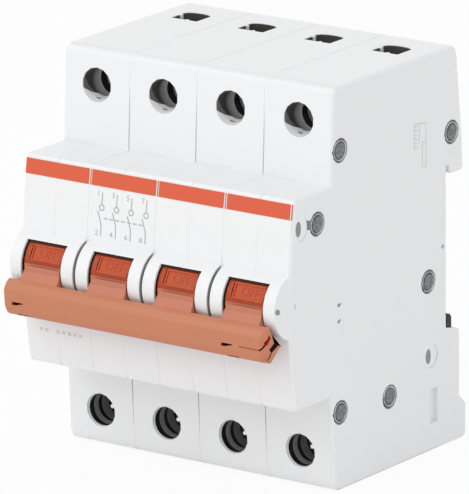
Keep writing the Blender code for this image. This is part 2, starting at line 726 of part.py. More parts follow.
def link_mesh():
    """A wire staple: two pins across the device joined by one leg, about its upper pin."""
    along = Vector(LINK_END) - Vector(CRANK)
    end_x = -(CRANK_LUG / 2 + 0.5)
    route = [(end_x, 0, 0), (LINK_OFFSET, 0, 0), (LINK_OFFSET, along.x, along.y),
             (end_x, along.x, along.y)]
    curve = bpy.data.curves.new("link_wire", 'CURVE')
    curve.dimensions = '3D'
    curve.bevel_depth = LINK_WIRE / 2 * MM
    curve.bevel_resolution = 2
    curve.use_fill_caps = True
    spline = curve.splines.new('POLY')
    spline.points.add(len(route) - 1)
    for point, at in zip(spline.points, route):
        point.co = (*[c * MM for c in at], 1)
    holder = bpy.data.objects.new("link_wire", curve)
    CUTTERS.objects.link(holder)
    seen = holder.evaluated_get(bpy.context.evaluated_depsgraph_get())
    mesh = bpy.data.meshes.new_from_object(seen)
    bpy.data.objects.remove(holder)
    bm = bmesh.new()
    bm.from_mesh(mesh)
    bmesh.ops.remove_doubles(bm, verts=bm.verts, dist=1e-7)
    bmesh.ops.recalc_face_normals(bm, faces=bm.faces)
    bm.to_mesh(mesh)
    bm.free()
    return mesh


def arm_mesh():
    """Contact blade on a hub with two pins, drawn switched on and turned to off."""
    crank = polar((0, 0), ARM_CRANK, ARM_ON_ANGLE)
    pad_y = STRIP_PAD_FACE - ARM_PIVOT[0] - GAP
    pad_z = PAD_HEIGHT - ARM_PIVOT[1]
    blade = rounded([
        (-ARM_HUB_RADIUS, 0, 0),
        (crank[0] - 2.9, crank[1], 2),
        (crank[0] - 1.6, crank[1] + 3.6, 0),
        (pad_y - 3.8, pad_z + 1.2, 0),
        (pad_y - 1.0, pad_z + 2.4, 0),
        (pad_y, pad_z + 2.0, 0),
        (pad_y, pad_z - 2.0, 0),
        (pad_y - 3.0, pad_z - 4.5, 0),
        (crank[0] + 2.9, crank[1], 2),
        (ARM_HUB_RADIUS, 0, 0),
    ])
    back = math.radians(ARM_TRAVEL)
    turn = Matrix.Rotation(back, 2)
    outline = [tuple(turn @ Vector(p)) for p in blade]
    arm = plate("arm_blade", outline, -ARM_THICKNESS / 2, ARM_THICKNESS / 2)
    hub = cylinder("arm_hub", 'X', (0, 0), ARM_HUB_RADIUS, -ARM_HUB_WIDTH / 2, ARM_HUB_WIDTH / 2, 12)
    reach = ARM_HUB_WIDTH / 2 + ARM_PIN_LENGTH
    pin = cylinder("arm_pin", 'X', (0, 0), ARM_PIN_RADIUS, -reach, reach, 10)
    hole = cylinder("link_hole", 'X', polar((0, 0), ARM_CRANK, ARM_OFF_ANGLE),
                    LINK_WIRE / 2 + LINK_HOLE_PLAY, -FAR, FAR, 10)
    combine(arm, 'UNION', [hub, pin])
    combine(arm, 'DIFFERENCE', [hole])
    return bake(arm)


# Conductors and terminals

STRIP_MIDDLE = STRIP_FRONT + STRIP_THICKNESS / 2
STRIP_TOP = HALF_HEIGHT - STRIP_END
STRIP_PAD_MIDDLE = -22.6
STRIP_PAD_FACE = STRIP_PAD_MIDDLE - STRIP_THICKNESS / 2 - PAD_THICKNESS


def fixed_contact_mesh():
    """Copper strip from the upper cage, bent forward and down to the contact pad."""
    path = [(STRIP_MIDDLE, STRIP_TOP), (STRIP_MIDDLE, UPPER_RUN), (STRIP_PAD_MIDDLE, UPPER_RUN),
            (STRIP_PAD_MIDDLE, PAD_HEIGHT - PAD_RADIUS - 0.5)]
    strip = plate("fixed_strip", sheet_path(path, STRIP_THICKNESS), -STRIP_X, STRIP_X)
    pad = cylinder("contact_pad", 'Y', (0, PAD_HEIGHT), PAD_RADIUS, STRIP_PAD_FACE,
                   STRIP_PAD_MIDDLE, 12)
    combine(strip, 'UNION', [pad])
    return bake(strip)


def lower_strip_mesh():
    """Copper strip from the lower cage up and forward to the arm's hub."""
    hub_face = ARM_PIVOT[0] + ARM_HUB_RADIUS + GAP
    path = [(STRIP_MIDDLE, -STRIP_TOP), (STRIP_MIDDLE, ARM_PIVOT[1]), (hub_face, ARM_PIVOT[1])]
    strip = plate("lower_strip", sheet_path(path, STRIP_THICKNESS), -STRIP_X, STRIP_X)
    return bake(strip)


def cage_mesh():
    """Clamp cage about the screw's axis: a box open to the wire, threaded in front."""
    half = CAGE_WIDTH / 2
    tall = CAGE_HEIGHT / 2
    cage = box("cage", (-half, CAGE_FRONT, -tall), (half, CAGE_BACK, tall))
    room = box("cage_room", (CAGE_SIDE - half, CAGE_FRONT + NUT_WALL, -FAR),
               (half - CAGE_SIDE, WIRE_BACK, FAR))
    thread = cylinder("cage_thread", 'Y', (0, 0), SHANK_RADIUS + GAP, CAGE_FRONT - 1,
                      CAGE_FRONT + NUT_WALL + 1, 10)
    combine(cage, 'DIFFERENCE', [room, thread])
    return bake(cage)


def screw_mesh():
    """Terminal screw: slotted cheese head and shank, standing on Z and then laid along Y."""
    tip = STRIP_FRONT - GAP
    length = tip - HEAD_FRONT
    profile = [(0, length), (HEAD_RADIUS - 0.4, length), (HEAD_RADIUS, length - 0.4),
               (HEAD_RADIUS, length - HEAD_LENGTH), (SHANK_RADIUS, length - HEAD_LENGTH),
               (SHANK_RADIUS, 0.6), (SHANK_RADIUS - 0.6, 0), (0, 0)]
    screw = turned("terminal_screw", profile, 12)
    slot = box("driver_slot", (-FAR, -0.5, length - 1.6), (FAR, 0.5, FAR))
    combine(screw, 'DIFFERENCE', [slot])
    mesh = bake(screw)
    lay_down = Matrix.Translation((0, tip * MM, 0)) @ Matrix.Rotation(math.pi / 2, 4, 'X')
    mesh.transform(lay_down)
    return mesh


def clip_mesh():
    """Slider in the foot, with a nose behind the rail's lower edge and a pull slot below."""
    ledge = -RAIL_TOP - GAP
    nose = -RAIL_TOP + CLIP_OVERLAP
    nose_front = RAIL_THICKNESS + GAP + 0.6
    outline = rounded([
        (CLIP_FRONT, ledge, 0),
        (nose_front, ledge, 0),
        (nose_front, nose - 0.6, 0),
        (nose_front + 0.5, nose, 0),
        (CLIP_BACK - 0.5, nose, 0),
        (CLIP_BACK, nose - 0.8, 0),
        (CLIP_BACK, -HALF_HEIGHT + 0.2, 0),
        (CLIP_FRONT, -HALF_HEIGHT + 0.2, 0),
    ])
    clip = plate("clip", outline, -CLIP_WIDTH / 2, CLIP_WIDTH / 2)
    slot = box("pull_slot", (-CLIP_SLOT_WIDTH / 2, CLIP_FRONT + 1.0, -FAR),
               (CLIP_SLOT_WIDTH / 2, CLIP_BACK - 1.0, -HALF_HEIGHT + 3.5))
    combine(clip, 'DIFFERENCE', [slot])
    return bake(clip)


def rivet_mesh():
    """Rivet through all the poles: a long shank with a domed head at each end."""
    face = POLES * POLE_PITCH / 2 - GAP / 2 - RIVET_RECESS_DEPTH + GAP
    top = face + RIVET_HEAD_HEIGHT
    half = [(0, top), (RIVET_HEAD_RADIUS - 0.5, top), (RIVET_HEAD_RADIUS, face + 0.25),
            (RIVET_HEAD_RADIUS, face), (RIVET_RADIUS, face)]
    profile = half + [(r, -h) for r, h in reversed(half)]
    rivet = turned("rivet", profile, 10)
    mesh = bake(rivet)
    mesh.transform(Matrix.Rotation(math.pi / 2, 4, 'Y'))
    return mesh


def pole_x(pole):
    return (pole - (POLES - 1) / 2) * POLE_PITCH


# Assembly

white = material("white_polyamide", (0.85, 0.85, 0.86), 0.45)
orange = material("orange_polyamide", (0.62, 0.11, 0.03), 0.4)
copper_orange = material("bar_polyamide", (0.55, 0.2, 0.1), 0.4)
zinc = material("zinc_plated_steel", (0.55, 0.55, 0.53), 0.35, 1.0)
nickel = material("nickel_plated_steel", (0.6, 0.6, 0.58), 0.3, 1.0)
copper = material("copper", (0.72, 0.4, 0.25), 0.35, 1.0)
rivet_steel = material("rivet_steel", (0.35, 0.35, 0.36), 0.4, 1.0)
spring_steel = material("spring_steel", (0.5, 0.5, 0.52), 0.3, 1.0)
dark = material("dark_polyamide", (0.03, 0.03, 0.03), 0.5)

bar_front = -min(y for y, z in BAR_SECTION) + PIVOT_DEPTH
ROOT = empty("rail_seat", None, (0, (bar_front - HEEL_REAR) / 2, HALF_HEIGHT))

body = body_shell("body")
left_end_body = body_shell("left_end_body", left_end=True)
right_end_body = body_shell("right_end_body", right_end=True)
cover = cover_shell("cover")
end_cover = cover_shell("end_cover", end=True)
toggle = toggle_mesh()
link = link_mesh()
arm = arm_mesh()
fixed_contact = fixed_contact_mesh()
lower_strip = lower_strip_mesh()
cage = cage_mesh()
screw = screw_mesh()
clip = clip_mesh()
rivet = rivet_mesh()

for pole in range(POLES):
    label = f"pole{pole + 1}"
    home = empty(f"{label}_frame", ROOT, (pole_x(pole), 0, 0))
    left = end_cover if pole == 0 else cover
    right = {0: left_end_body, POLES - 1: right_end_body}.get(pole, body)
    place(f"{label}_left_shell", left, white, home)
    place(f"{label}_right_shell", right, white, home)
    place(f"{label}_toggle", toggle, orange, home, (0, *PIVOT))
    place(f"{label}_link", link, spring_steel, home, (0, *CRANK))
    place(f"{label}_moving_contact", arm, copper, home, (0, *ARM_PIVOT))
    place(f"{label}_fixed_contact", fixed_contact, copper, home)
    place(f"{label}_lower_strip", lower_strip, copper, home)
    place(f"{label}_upper_cage", cage, zinc, home, (0, 0, SCREW_Z))
    place(f"{label}_lower_cage", cage, zinc, home, (0, 0, -SCREW_Z))
    place(f"{label}_upper_screw", screw, nickel, home, (0, 0, SCREW_Z))
    place(f"{label}_lower_screw", screw, nickel, home, (0, 0, -SCREW_Z))
    place(f"{label}_rail_clip", clip, dark, home)

place("handle_bar", bar_mesh(), copper_orange, ROOT, (0, *PIVOT))
for number, (y, z) in enumerate(RIVETS, 1):
    place(f"rivet_{number}", rivet, rivet_steel, ROOT, (0, y, z))
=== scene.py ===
import math

import bmesh
import bpy
from mathutils import Matrix, Vector


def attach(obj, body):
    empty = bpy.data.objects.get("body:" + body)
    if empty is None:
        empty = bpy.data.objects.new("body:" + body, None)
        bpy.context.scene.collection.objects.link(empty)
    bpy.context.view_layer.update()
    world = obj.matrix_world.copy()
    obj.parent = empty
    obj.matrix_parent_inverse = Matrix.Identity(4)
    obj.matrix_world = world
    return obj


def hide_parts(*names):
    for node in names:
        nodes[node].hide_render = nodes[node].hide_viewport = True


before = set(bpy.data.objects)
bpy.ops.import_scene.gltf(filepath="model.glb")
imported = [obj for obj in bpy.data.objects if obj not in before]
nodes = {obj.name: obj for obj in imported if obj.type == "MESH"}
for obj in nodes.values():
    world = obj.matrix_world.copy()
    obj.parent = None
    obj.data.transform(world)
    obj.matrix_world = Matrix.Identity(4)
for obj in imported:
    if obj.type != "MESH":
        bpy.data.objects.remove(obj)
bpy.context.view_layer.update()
scene = bpy.context.scene
MM = 0.001
POLES = 4
POLE_PITCH = 17.5
POLE_MIDDLES = [(n - (POLES - 1) / 2) * POLE_PITCH for n in range(POLES)]
JOINTS = [(n - POLES / 2) * POLE_PITCH for n in range(1, POLES)]
RAIL_SEAT = Vector((0, 29.5, 44))       # middle of the rail seat, from which drawings are measured

# Housing shells. Two half shells of white polyamide for each pole, injection moulded with a fine matt
# spark-eroded grain and riveted through their bosses. Handling leaves the edges a little smoother.
MERGE_DISTANCE, SKIN_SHARP, PIECE_SHARP = MM * 0.002, math.radians(35), math.radians(30)


def new_material(name):
    """An empty material: its node tree and its Principled shader."""
    material = bpy.data.materials.new(name)
    material.use_nodes = True
    tree = material.node_tree
    return material, tree, tree.nodes["Principled BSDF"]


def add_node(tree, kind, sockets=(), **settings):
    """A node with its settings; sockets gives (input, output socket or value) pairs."""
    node = tree.nodes.new(kind)
    for name, value in settings.items():
        setattr(node, name, value)
    for name, source in sockets:
        if isinstance(source, bpy.types.NodeSocket):
            tree.links.new(source, node.inputs[name])
        else:
            node.inputs[name].default_value = source
    return node


def add_group(name, tree_type, inputs, outputs):
    """A node group with inputs and outputs given as (label, socket type), and its end nodes."""
    tree = bpy.data.node_groups.new(name, tree_type)
    for direction, sockets in (("INPUT", inputs), ("OUTPUT", outputs)):
        for label, kind in sockets:
            tree.interface.new_socket(label, in_out=direction, socket_type="NodeSocket" + kind)
    return tree, tree.nodes.new("NodeGroupInput"), tree.nodes.new("NodeGroupOutput")


grain_group, grain_in, grain_out = add_group(
    "moulded_grain", "ShaderNodeTree",
    [("Color", "Color"), ("Shade", "Float"), ("Roughness", "Float"), ("Grain Size", "Float"),
     ("Grain Depth", "Float")],
    [("Color", "Color"), ("Roughness", "Float"), ("Normal", "Vector")])
place = add_node(grain_group, "ShaderNodeTexCoord")
per_metre = add_node(grain_group, "ShaderNodeMath", [(0, 1 / MM), (1, grain_in.outputs["Grain Size"])],
                     operation="DIVIDE")
fine = add_node(grain_group, "ShaderNodeTexNoise",
                [("Vector", place.outputs["Object"]), ("Scale", per_metre.outputs[0]),
                 ("Detail", 3.0), ("Roughness", 0.6)])
broad = add_node(grain_group, "ShaderNodeTexNoise",
                 [("Vector", place.outputs["Object"]), ("Scale", 70.0), ("Detail", 4.0),
                  ("Roughness", 0.5)])
lighter = add_node(grain_group, "ShaderNodeMath", [(0, broad.outputs["Fac"]), (1, 0.5)],
                   operation="SUBTRACT")
tint = add_node(grain_group, "ShaderNodeMath",
                [(0, lighter.outputs[0]), (1, grain_in.outputs["Shade"]), (2, 1.0)],
                operation="MULTIPLY_ADD")
shaded = add_node(grain_group, "ShaderNodeVectorMath",
                  [(0, grain_in.outputs["Color"]), ("Scale", tint.outputs[0])], operation="SCALE")
rougher = add_node(grain_group, "ShaderNodeMath",
                   [(0, lighter.outputs[0]), (1, 0.18), (2, grain_in.outputs["Roughness"])],
                   operation="MULTIPLY_ADD")
relief_height = add_node(grain_group, "ShaderNodeMath",
                         [(0, grain_in.outputs["Grain Depth"]), (1, MM)], operation="MULTIPLY")
relief = add_node(grain_group, "ShaderNodeBump",
                  [("Height", fine.outputs["Fac"]), ("Strength", 1.0),
                   ("Distance", relief_height.outputs[0])])
for label, node in (("Color", shaded), ("Roughness", rougher), ("Normal", relief)):
    grain_group.links.new(node.outputs[0], grain_out.inputs[label])


def moulded(name, color, roughness, shade=0.03, grain=0.3, grain_depth=0.004, specular=0.5):
    """A moulded plastic from the grain group."""
    material, tree, shader = new_material(name)
    group = add_node(tree, "ShaderNodeGroup",
                     [("Color", (*color, 1)), ("Shade", shade), ("Roughness", roughness),
                      ("Grain Size", grain), ("Grain Depth", grain_depth)], node_tree=grain_group)
    for label, socket in (("Color", "Base Color"), ("Roughness", "Roughness"), ("Normal", "Normal")):
        tree.links.new(group.outputs[label], shader.inputs[socket])
    shader.inputs["Specular IOR Level"].default_value = specular
    return material


def dress(word, material):
    """Give the CAD nodes with a word in their names a finish."""
    for name in [name for name in nodes if word in name]:
        for slot in nodes[name].material_slots:
            slot.material = material


def add_object(name, data):
    """A new object in the scene."""
    made = bpy.data.objects.new(name, data)
    scene.collection.objects.link(made)
    return made


def evaluated_mesh(item):
    """The mesh that an object shows with its modifiers."""
    bpy.context.view_layer.update()
    return bpy.data.meshes.new_from_object(item.evaluated_get(bpy.context.evaluated_depsgraph_get()))


def fair_skin(name, material, body):
    """A copy of a CAD node with its facets faired, shown in the node's place."""
    bm = bmesh.new()
    bm.from_mesh(nodes[name].data)
    bmesh.ops.remove_doubles(bm, verts=bm.verts, dist=MERGE_DISTANCE)
    bm.verts.index_update()
    merged = bpy.data.meshes.new(name + "_skin")
    merged.from_pydata([vert.co for vert in bm.verts], [],
                       [[vert.index for vert in face.verts] for face in bm.faces])
    bm.free()
    merged.shade_smooth()
    merged.set_sharp_from_angle(angle=SKIN_SHARP)
    merged.materials.append(material)
    skin = add_object(name + "_skin", merged)
    fairing = skin.modifiers.new("fairing", "WEIGHTED_NORMAL")
    fairing.keep_sharp = True
    skin.data = evaluated_mesh(skin)
    skin.modifiers.remove(fairing)
    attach(skin, body)
    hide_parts(name)


white_shell = moulded("white_shell", (0.855, 0.86, 0.868), 0.42, shade=0.012, grain=0.22, grain_depth=0.006)
for name in [name for name in nodes if name.endswith("_shell")]:
    fair_skin(name, white_shell, "housing")

# Joint tongues. A thin tongue along the edge of each shell closes the joint to the next one, so that
# a joint shows outside as a fine groove. It is the same white polyamide, moulded with the shell.
HALF_NOSE = 23.0
NOSE_FRONT = [(0, -58.5), (HALF_NOSE / 3, -58.267), (HALF_NOSE * 2 / 3, -57.567), (HALF_NOSE, -56.4)]
DRUM_AXIS = Vector((-56.3, 0.0))
JOINT_HALF = 0.15
GROOVE, TERMINAL_GROOVE, TONGUE_DEPTH = 0.07, 0.42, 1.2
SEAM_GROOVE, SEAM_DEPTH = 0.04, 0.9
BULGE_REACH, BULGE_DEPTH = 7.1, 0.6
SIDE_VIEW = [(-42.3, 44, 2), (3.6, 44, 2), (6.6, 15.9, 1), (1.9, 15.9, 0), (1.3, 16.8, 0),
             (1.3, 17.8, 0), (0, 17.8, 0), (0, -18.1, 0), (5.1, -19.2, 1), (5.1, -34.2, 0),
             (7.5, -36.6, 0), (7.5, -44, 1), (-42.3, -44, 2), (-42.59, -38, 0), (-42.97, -30, 0),
             (-43.27, -23.6, 0), (-43.3, -23, 0), (-56.4, -23, 1),
             (-57.567, -15.333, 0), (-58.267, -7.667, 0), (-58.267, 7.667, 0), (-57.567, 15.333, 0),
             (-56.4, 23, 1), (-43.3, 23, 0), (-43.27, 23.6, 0), (-42.97, 30, 0), (-42.59, 38, 0)]


def rounded(corners, steps=3):
    """Outline points with each (a, b, radius) corner turned into an arc."""
    points = []
    for index, (a, b, radius) in enumerate(corners):
        here = Vector((a, b))
        if not radius:
            points.append(here)
            continue
        before = Vector(corners[index - 1][:2]) - here
        after = Vector(corners[(index + 1) % len(corners)][:2]) - here
        half_angle = before.angle(after) / 2
        middle = here + (before.normalized() + after.normalized()).normalized() * (
            radius / math.sin(half_angle))
        start = here + before.normalized() * radius / math.tan(half_angle) - middle
        end = here + after.normalized() * radius / math.tan(half_angle) - middle
        sweep = start.angle_signed(end)
        for step in range(steps + 1):
            spoke = start.copy()
            spoke.rotate(Matrix.Rotation(-sweep * step / steps, 2))
            points.append(middle + spoke)
    return points


def beside(path, distance, closed=False):
    """The path moved to its right by a distance, or by its own distance for each point."""
    moved = []
    last = len(path) - 1
    for index, here in enumerate(path):
        here = Vector(here)
        spans = []
        if closed or index:
            spans.append((here - Vector(path[index - 1])).normalized())
        if closed or index < last:
            spans.append((Vector(path[(index + 1) % (last + 1)]) - here).normalized())
        along = sum(spans, Vector((0, 0))).normalized()
        normal = Vector((along.y, -along.x))
        stretch = 1 / max(0.5, abs(normal.dot(Vector((spans[0].y, -spans[0].x)))))
        reach = distance[index] if isinstance(distance, list) else distance
        moved.append(here + normal * reach * stretch)
    return moved


def join_rings(bm, rings, closed=True):
    """Faces between each ring of vertices and the next, all the way round where the rings are closed."""
    for one, two in zip(rings, rings[1:]):
        for index in range(len(one) if closed else len(one) - 1):
            after = (index + 1) % len(one)
            bm.faces.new((one[index], one[after], two[after], two[index]))


def add_band(bm, path, low, high, near, far, closed=False):
    """A band across X from low to high, between two depths to the right of a path in Y and Z."""
    rings = [[bm.verts.new((x, *point)) for point in beside(path, reach, closed)]
             for x, reach in ((low, near), (high, near), (high, far), (low, far))]
    join_rings(bm, rings + rings[:1], closed)
    if not closed:
        bm.faces.new([ring[0] for ring in rings])
        bm.faces.new([ring[-1] for ring in reversed(rings)])


def drum_arc(reach, angles):
    """Points at a reach from the drum's axis, at angles up from straight ahead."""
    return [(DRUM_AXIS.x - reach * math.cos(math.radians(angle)), reach * math.sin(math.radians(angle)))
            for angle in angles]


def finish_piece(name, bm, material, body="housing", slot="white_polyamide", smooth=True):
    """An object from a mesh drawn in millimetres about the rail seat, riding on a body."""
    bmesh.ops.recalc_face_normals(bm, faces=bm.faces)
    bmesh.ops.transform(bm, matrix=Matrix.Scale(MM, 4) @ Matrix.Translation(RAIL_SEAT), verts=bm.verts)
    mesh = bpy.data.meshes.new(name)
    bm.to_mesh(mesh)
    bm.free()
    if smooth:
        mesh.shade_smooth()
        mesh.set_sharp_from_angle(angle=PIECE_SHARP)
    mesh.materials.append(material)
    piece = add_object(name, mesh)
    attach(piece, body)
    return piece


side_view = rounded(SIDE_VIEW)
grooves = [TERMINAL_GROOVE if -44 < point.x < -42.8 and 23.5 < abs(point.y) else GROOVE
           for point in side_view]
bm = bmesh.new()
for x in JOINTS:
    add_band(bm, side_view, x - JOINT_HALF, x + JOINT_HALF, grooves, TONGUE_DEPTH, closed=True)
head = [(-56.0, 22.8), (-55.2, HALF_NOSE), (-43.32, HALF_NOSE)]
foot = [(-43.32, -HALF_NOSE), (-55.2, -HALF_NOSE), (-56.0, -22.8)]
upper_front = [(-58.29, 6.9), (-58.267, 7.667), (-57.567, 15.333), (-56.55, 22.0)]
lower_front = [(-56.55, -22.0), (-57.567, -15.333), (-58.267, -7.667), (-58.33, -5.8)]
for x in POLE_MIDDLES:
    for path in ([(0, 17.5), (0, -17.5)], upper_front + head, foot + lower_front):
        add_band(bm, path, x - JOINT_HALF, x + JOINT_HALF, SEAM_GROOVE, SEAM_DEPTH)
    add_band(bm, drum_arc(BULGE_REACH, (52.5, 56, 60, 64, 68, 72, 76, 80)), x - JOINT_HALF,
             x + JOINT_HALF, 0.0, BULGE_DEPTH)
    for side in (1, -1):
        for near, far, front, left, right in ((23.08, 23.42, -43.2, 8.6, 0.0),
                                              (22.7, 23.5, -43.36, 0.3, 0.3)):
            low, high = sorted((side * near, side * far))
            add_band(bm, [(front, low), (front, high)], x - left, x + right, 0.02, 0.6)
finish_piece("joint_tongues", bm, white_shell)

# Colour band. An orange stripe pad-printed across the head of the nose, one length on each shell, with
# a hairline left bare beside each joint between poles and a sliver in the joint itself.
BAND_LOW, BAND_HIGH, BAND_START, BAND_END = 18.75, 22.05, -34.6, 34.05
STRIPE_LEFT, STRIPE_RIGHT, SLIVER_HALF, BAND_TIP = 8.4, 8.35, 0.1, (34.3, 34.6)
INK_DEPTH = 0.03


def nose_y(height):
    """Y of the nose's faceted front at a height."""
    height = min(abs(height), HALF_NOSE)
    for (z0, y0), (z1, y1) in zip(NOSE_FRONT, NOSE_FRONT[1:]):
        if height <= z1:
            return y0 + (y1 - y0) * (height - z0) / (z1 - z0)


def print_on_nose(name, flat, ink):
    """A print on the nose from flat faces in (across, up), as a closed skin of ink."""
    bm = bmesh.new()
    for face in flat:
        bm.faces.new([bm.verts.new((x, nose_y(z) - INK_DEPTH, z)) for x, z in face])
    bmesh.ops.remove_doubles(bm, verts=bm.verts, dist=1e-4)
    bmesh.ops.recalc_face_normals(bm, faces=bm.faces)
    bmesh.ops.solidify(bm, geom=bm.faces[:], thickness=INK_DEPTH * 2)
    finish_piece(name, bm, ink, smooth=False)


def rectangle(left, right, low, high):
    """A flat face, in (across, up)."""
    return [(left, low), (right, low), (right, high), (left, high)]


band_ink = moulded("band_ink", (0.70, 0.105, 0.038), 0.5, shade=0.05)
stripes = [(x - STRIPE_LEFT, x + STRIPE_RIGHT) for x in POLE_MIDDLES]
stripes[0] = (BAND_START, stripes[0][1])
stripes[-1] = (stripes[-1][0], BAND_END)
stripes += [(x - SLIVER_HALF, x + SLIVER_HALF) for x in JOINTS] + [BAND_TIP]
print_on_nose("colour_band", [rectangle(*stripe, BAND_LOW, BAND_HIGH) for stripe in stripes], band_ink)

# Contact diagram. A pale grey pad print on the second pole: four isolating contacts coupled by a
# dashed line, with the numbers of the terminals above and below.
LINE_WIDTH, THIN_LINE, LONGEST_SPAN, CAP_HEIGHT = 0.24, 0.2, 1.2, 0.7


def ribbon(points, width=LINE_WIDTH):
    """Flat faces along a path of points, in (across, up)."""
    path = [Vector(point) for point in points]
    fuller = [path[0]]
    for one, two in zip(path, path[1:]):
        cuts = max(1, math.ceil((two - one).length / LONGEST_SPAN))
        fuller += [one.lerp(two, step / cuts) for step in range(1, cuts + 1)]
    left, right = beside(fuller, -width / 2), beside(fuller, width / 2)
    return [[left[i], left[i + 1], right[i + 1], right[i]] for i in range(len(fuller) - 1)]


def ring(middle, radius, width=LINE_WIDTH, sides=16, sweep=360, start=0):
    """Flat faces of a ring or an arc, in (across, up)."""
    faces = []
    for step in range(sides):
        corners = []
        for reach, turn in ((radius - width / 2, step), (radius + width / 2, step),
                            (radius + width / 2, step + 1), (radius - width / 2, step + 1)):
            angle = math.radians(start + sweep * turn / sides)
            corners.append((middle[0] + reach * math.cos(angle), middle[1] + reach * math.sin(angle)))
        faces.append(corners)
    return faces


def letters(words, height, middle):
    """Flat faces of a plain printed word, in (across, up)."""
    text = bpy.data.curves.new("lettering", "FONT")
    text.body = words
    text.size = height / CAP_HEIGHT
    text.align_x, text.align_y = "CENTER", "CENTER"
    text.resolution_u = 3
    holder = add_object("lettering", text)
    flat = evaluated_mesh(holder)
    bpy.data.objects.remove(holder)
    faces = [[(flat.vertices[i].co.x + middle[0], flat.vertices[i].co.y + middle[1])
              for i in face.vertices] for face in flat.polygons]
    bpy.data.meshes.remove(flat)
    return faces


grey_ink = moulded("grey_ink", (0.42, 0.425, 0.44), 0.5, shade=0.2, grain_depth=0.003)
DIAGRAM_X = [-14.1, -10.25, -6.4, -2.5]
DIGIT_HEIGHT, DASHES, DASH_LENGTH, DASH_HEIGHT = 1.15, 7, 0.95, 12.1
flat = []
for number, x in enumerate(DIAGRAM_X):
    flat += ribbon([(x, 17.5), (x, 14.95)])
    flat += ring((x, 14.3), 0.6)
    flat += ribbon([(x - 1.0, 13.55), (x - 0.05, 10.8), (x, 10.4), (x, 8.2)])
    flat += letters(str(2 * number + 1), DIGIT_HEIGHT, (x - 1.0, 17.2))
    flat += letters(str(2 * number + 2), DIGIT_HEIGHT, (x - 1.15, 8.8))
start, end = DIAGRAM_X[0] + 0.4, DIAGRAM_X[-1] - 0.5
for step in range(DASHES):
    left = start + (end - start) * (step + 0.15) / DASHES
    flat += ribbon([(left, DASH_HEIGHT), (left + DASH_LENGTH, DASH_HEIGHT)], THIN_LINE)
print_on_nose("contact_diagram", flat, grey_ink)

# Row of inspection marks. Small pale dashes, pad-printed low on the first pole, under the bar, with
# the third place of the row left blank.
MARKS_START, MARKS_PITCH, MARKS_HEIGHT = -31.1, 1.5, -15.0
MARK_WIDTH, MARK_HALF_HEIGHT = 0.8, 0.35
# Pale grey for printed marks, and also for painted shadow arcs on the side face.
faint_ink_and_shade = moulded("faint_ink_and_shade", (0.66, 0.665, 0.675), 0.5, shade=0.2, grain_depth=0.003)
marks = [MARKS_START + MARKS_PITCH * place for place in (0, 1, 3, 4, 5, 6, 7)]
print_on_nose("inspection_marks",
              [rectangle(x, x + MARK_WIDTH, MARKS_HEIGHT - MARK_HALF_HEIGHT,
                         MARKS_HEIGHT + MARK_HALF_HEIGHT) for x in marks], faint_ink_and_shade)

# Toggles. Orange polyamide mouldings, one for each pole, whose drum shows in the window. A plate with a
# raised frame and the word for the switch's state is set in the drum's front.
LABEL_ANGLE = math.radians(30.5)
LABEL_LEFT, LABEL_RIGHT, LABEL_HALF_HEIGHT = -3.4, 4.45, 1.8
PLATE_FOOT, PLATE_REACH, FRAME_REACH, FRAME_WIDTH = 5.5, 6.04, 6.26, 0.36
LETTER_HEIGHT, LETTER_SHIFT, LETTER_RELIEF = 1.9, 0.2, 0.1
toggle_orange = moulded("toggle_orange", (0.43, 0.062, 0.018), 0.4, shade=0.15, grain=0.6, specular=0.3)
for number in range(1, POLES + 1):
    fair_skin(f"pole{number}_toggle", toggle_orange, "handle")
label_orange = moulded("label_orange", (0.50, 0.064, 0.006), 0.36, shade=0.14, grain=0.5, specular=0.35)


def on_drum(middle, reach):
    """A mapping from the label's plane to the drum's front, at a reach from the drum's axis."""
    out = Vector((-math.cos(LABEL_ANGLE), math.sin(LABEL_ANGLE)))
    along = Vector((math.sin(LABEL_ANGLE), math.cos(LABEL_ANGLE)))

    def place(x, z):
        spot = DRUM_AXIS + out * reach + along * z
        return middle + x, spot.x, spot.y
    return place


def add_loft(bm, sections):
    """A closed solid through sections of points, capped at both ends."""
    rings = [[bm.verts.new(point) for point in section] for section in sections]
    join_rings(bm, rings)
    bm.faces.new(rings[0][::-1])
    bm.faces.new(rings[-1])
    bmesh.ops.recalc_face_normals(bm, faces=bm.faces)


def slab_piece(name, material, layers, body="housing", slot="white_polyamide", smooth=True):
    """A piece of plates, from (flat faces, lower mapping, upper mapping) layers."""
    bm = bmesh.new()
    for flat, place_low, place_high in layers:
        for corners in flat:
            add_loft(bm, [[place(*point) for point in corners] for place in (place_low, place_high)])
    finish_piece(name, bm, material, body, slot, smooth)


def frame_bars(left, right, low, high, width):
    """Flat faces of a rectangular frame, mitred at its corners."""
    outer = rectangle(left, right, low, high)
    inner = rectangle(left + width, right - width, low + width, high - width)
    return [[outer[i], outer[(i + 1) % 4], inner[(i + 1) % 4], inner[i]] for i in range(4)]


edge = LABEL_HALF_HEIGHT
word = letters("OFF", LETTER_HEIGHT, ((LABEL_LEFT + LABEL_RIGHT) / 2 + LETTER_SHIFT, 0))
for number, middle in enumerate(POLE_MIDDLES, 1):
    buried, plate = on_drum(middle, PLATE_REACH - LETTER_RELIEF), on_drum(middle, PLATE_REACH)
    slab_piece(f"pole{number}_label", label_orange, [
        ([rectangle(LABEL_LEFT, LABEL_RIGHT, -edge, edge)], on_drum(middle, PLATE_FOOT), plate),
        (frame_bars(LABEL_LEFT, LABEL_RIGHT, -edge, edge, FRAME_WIDTH), buried,
         on_drum(middle, FRAME_REACH)),
        (word, buried, on_drum(middle, PLATE_REACH + LETTER_RELIEF))], "handle", "orange_polyamide")
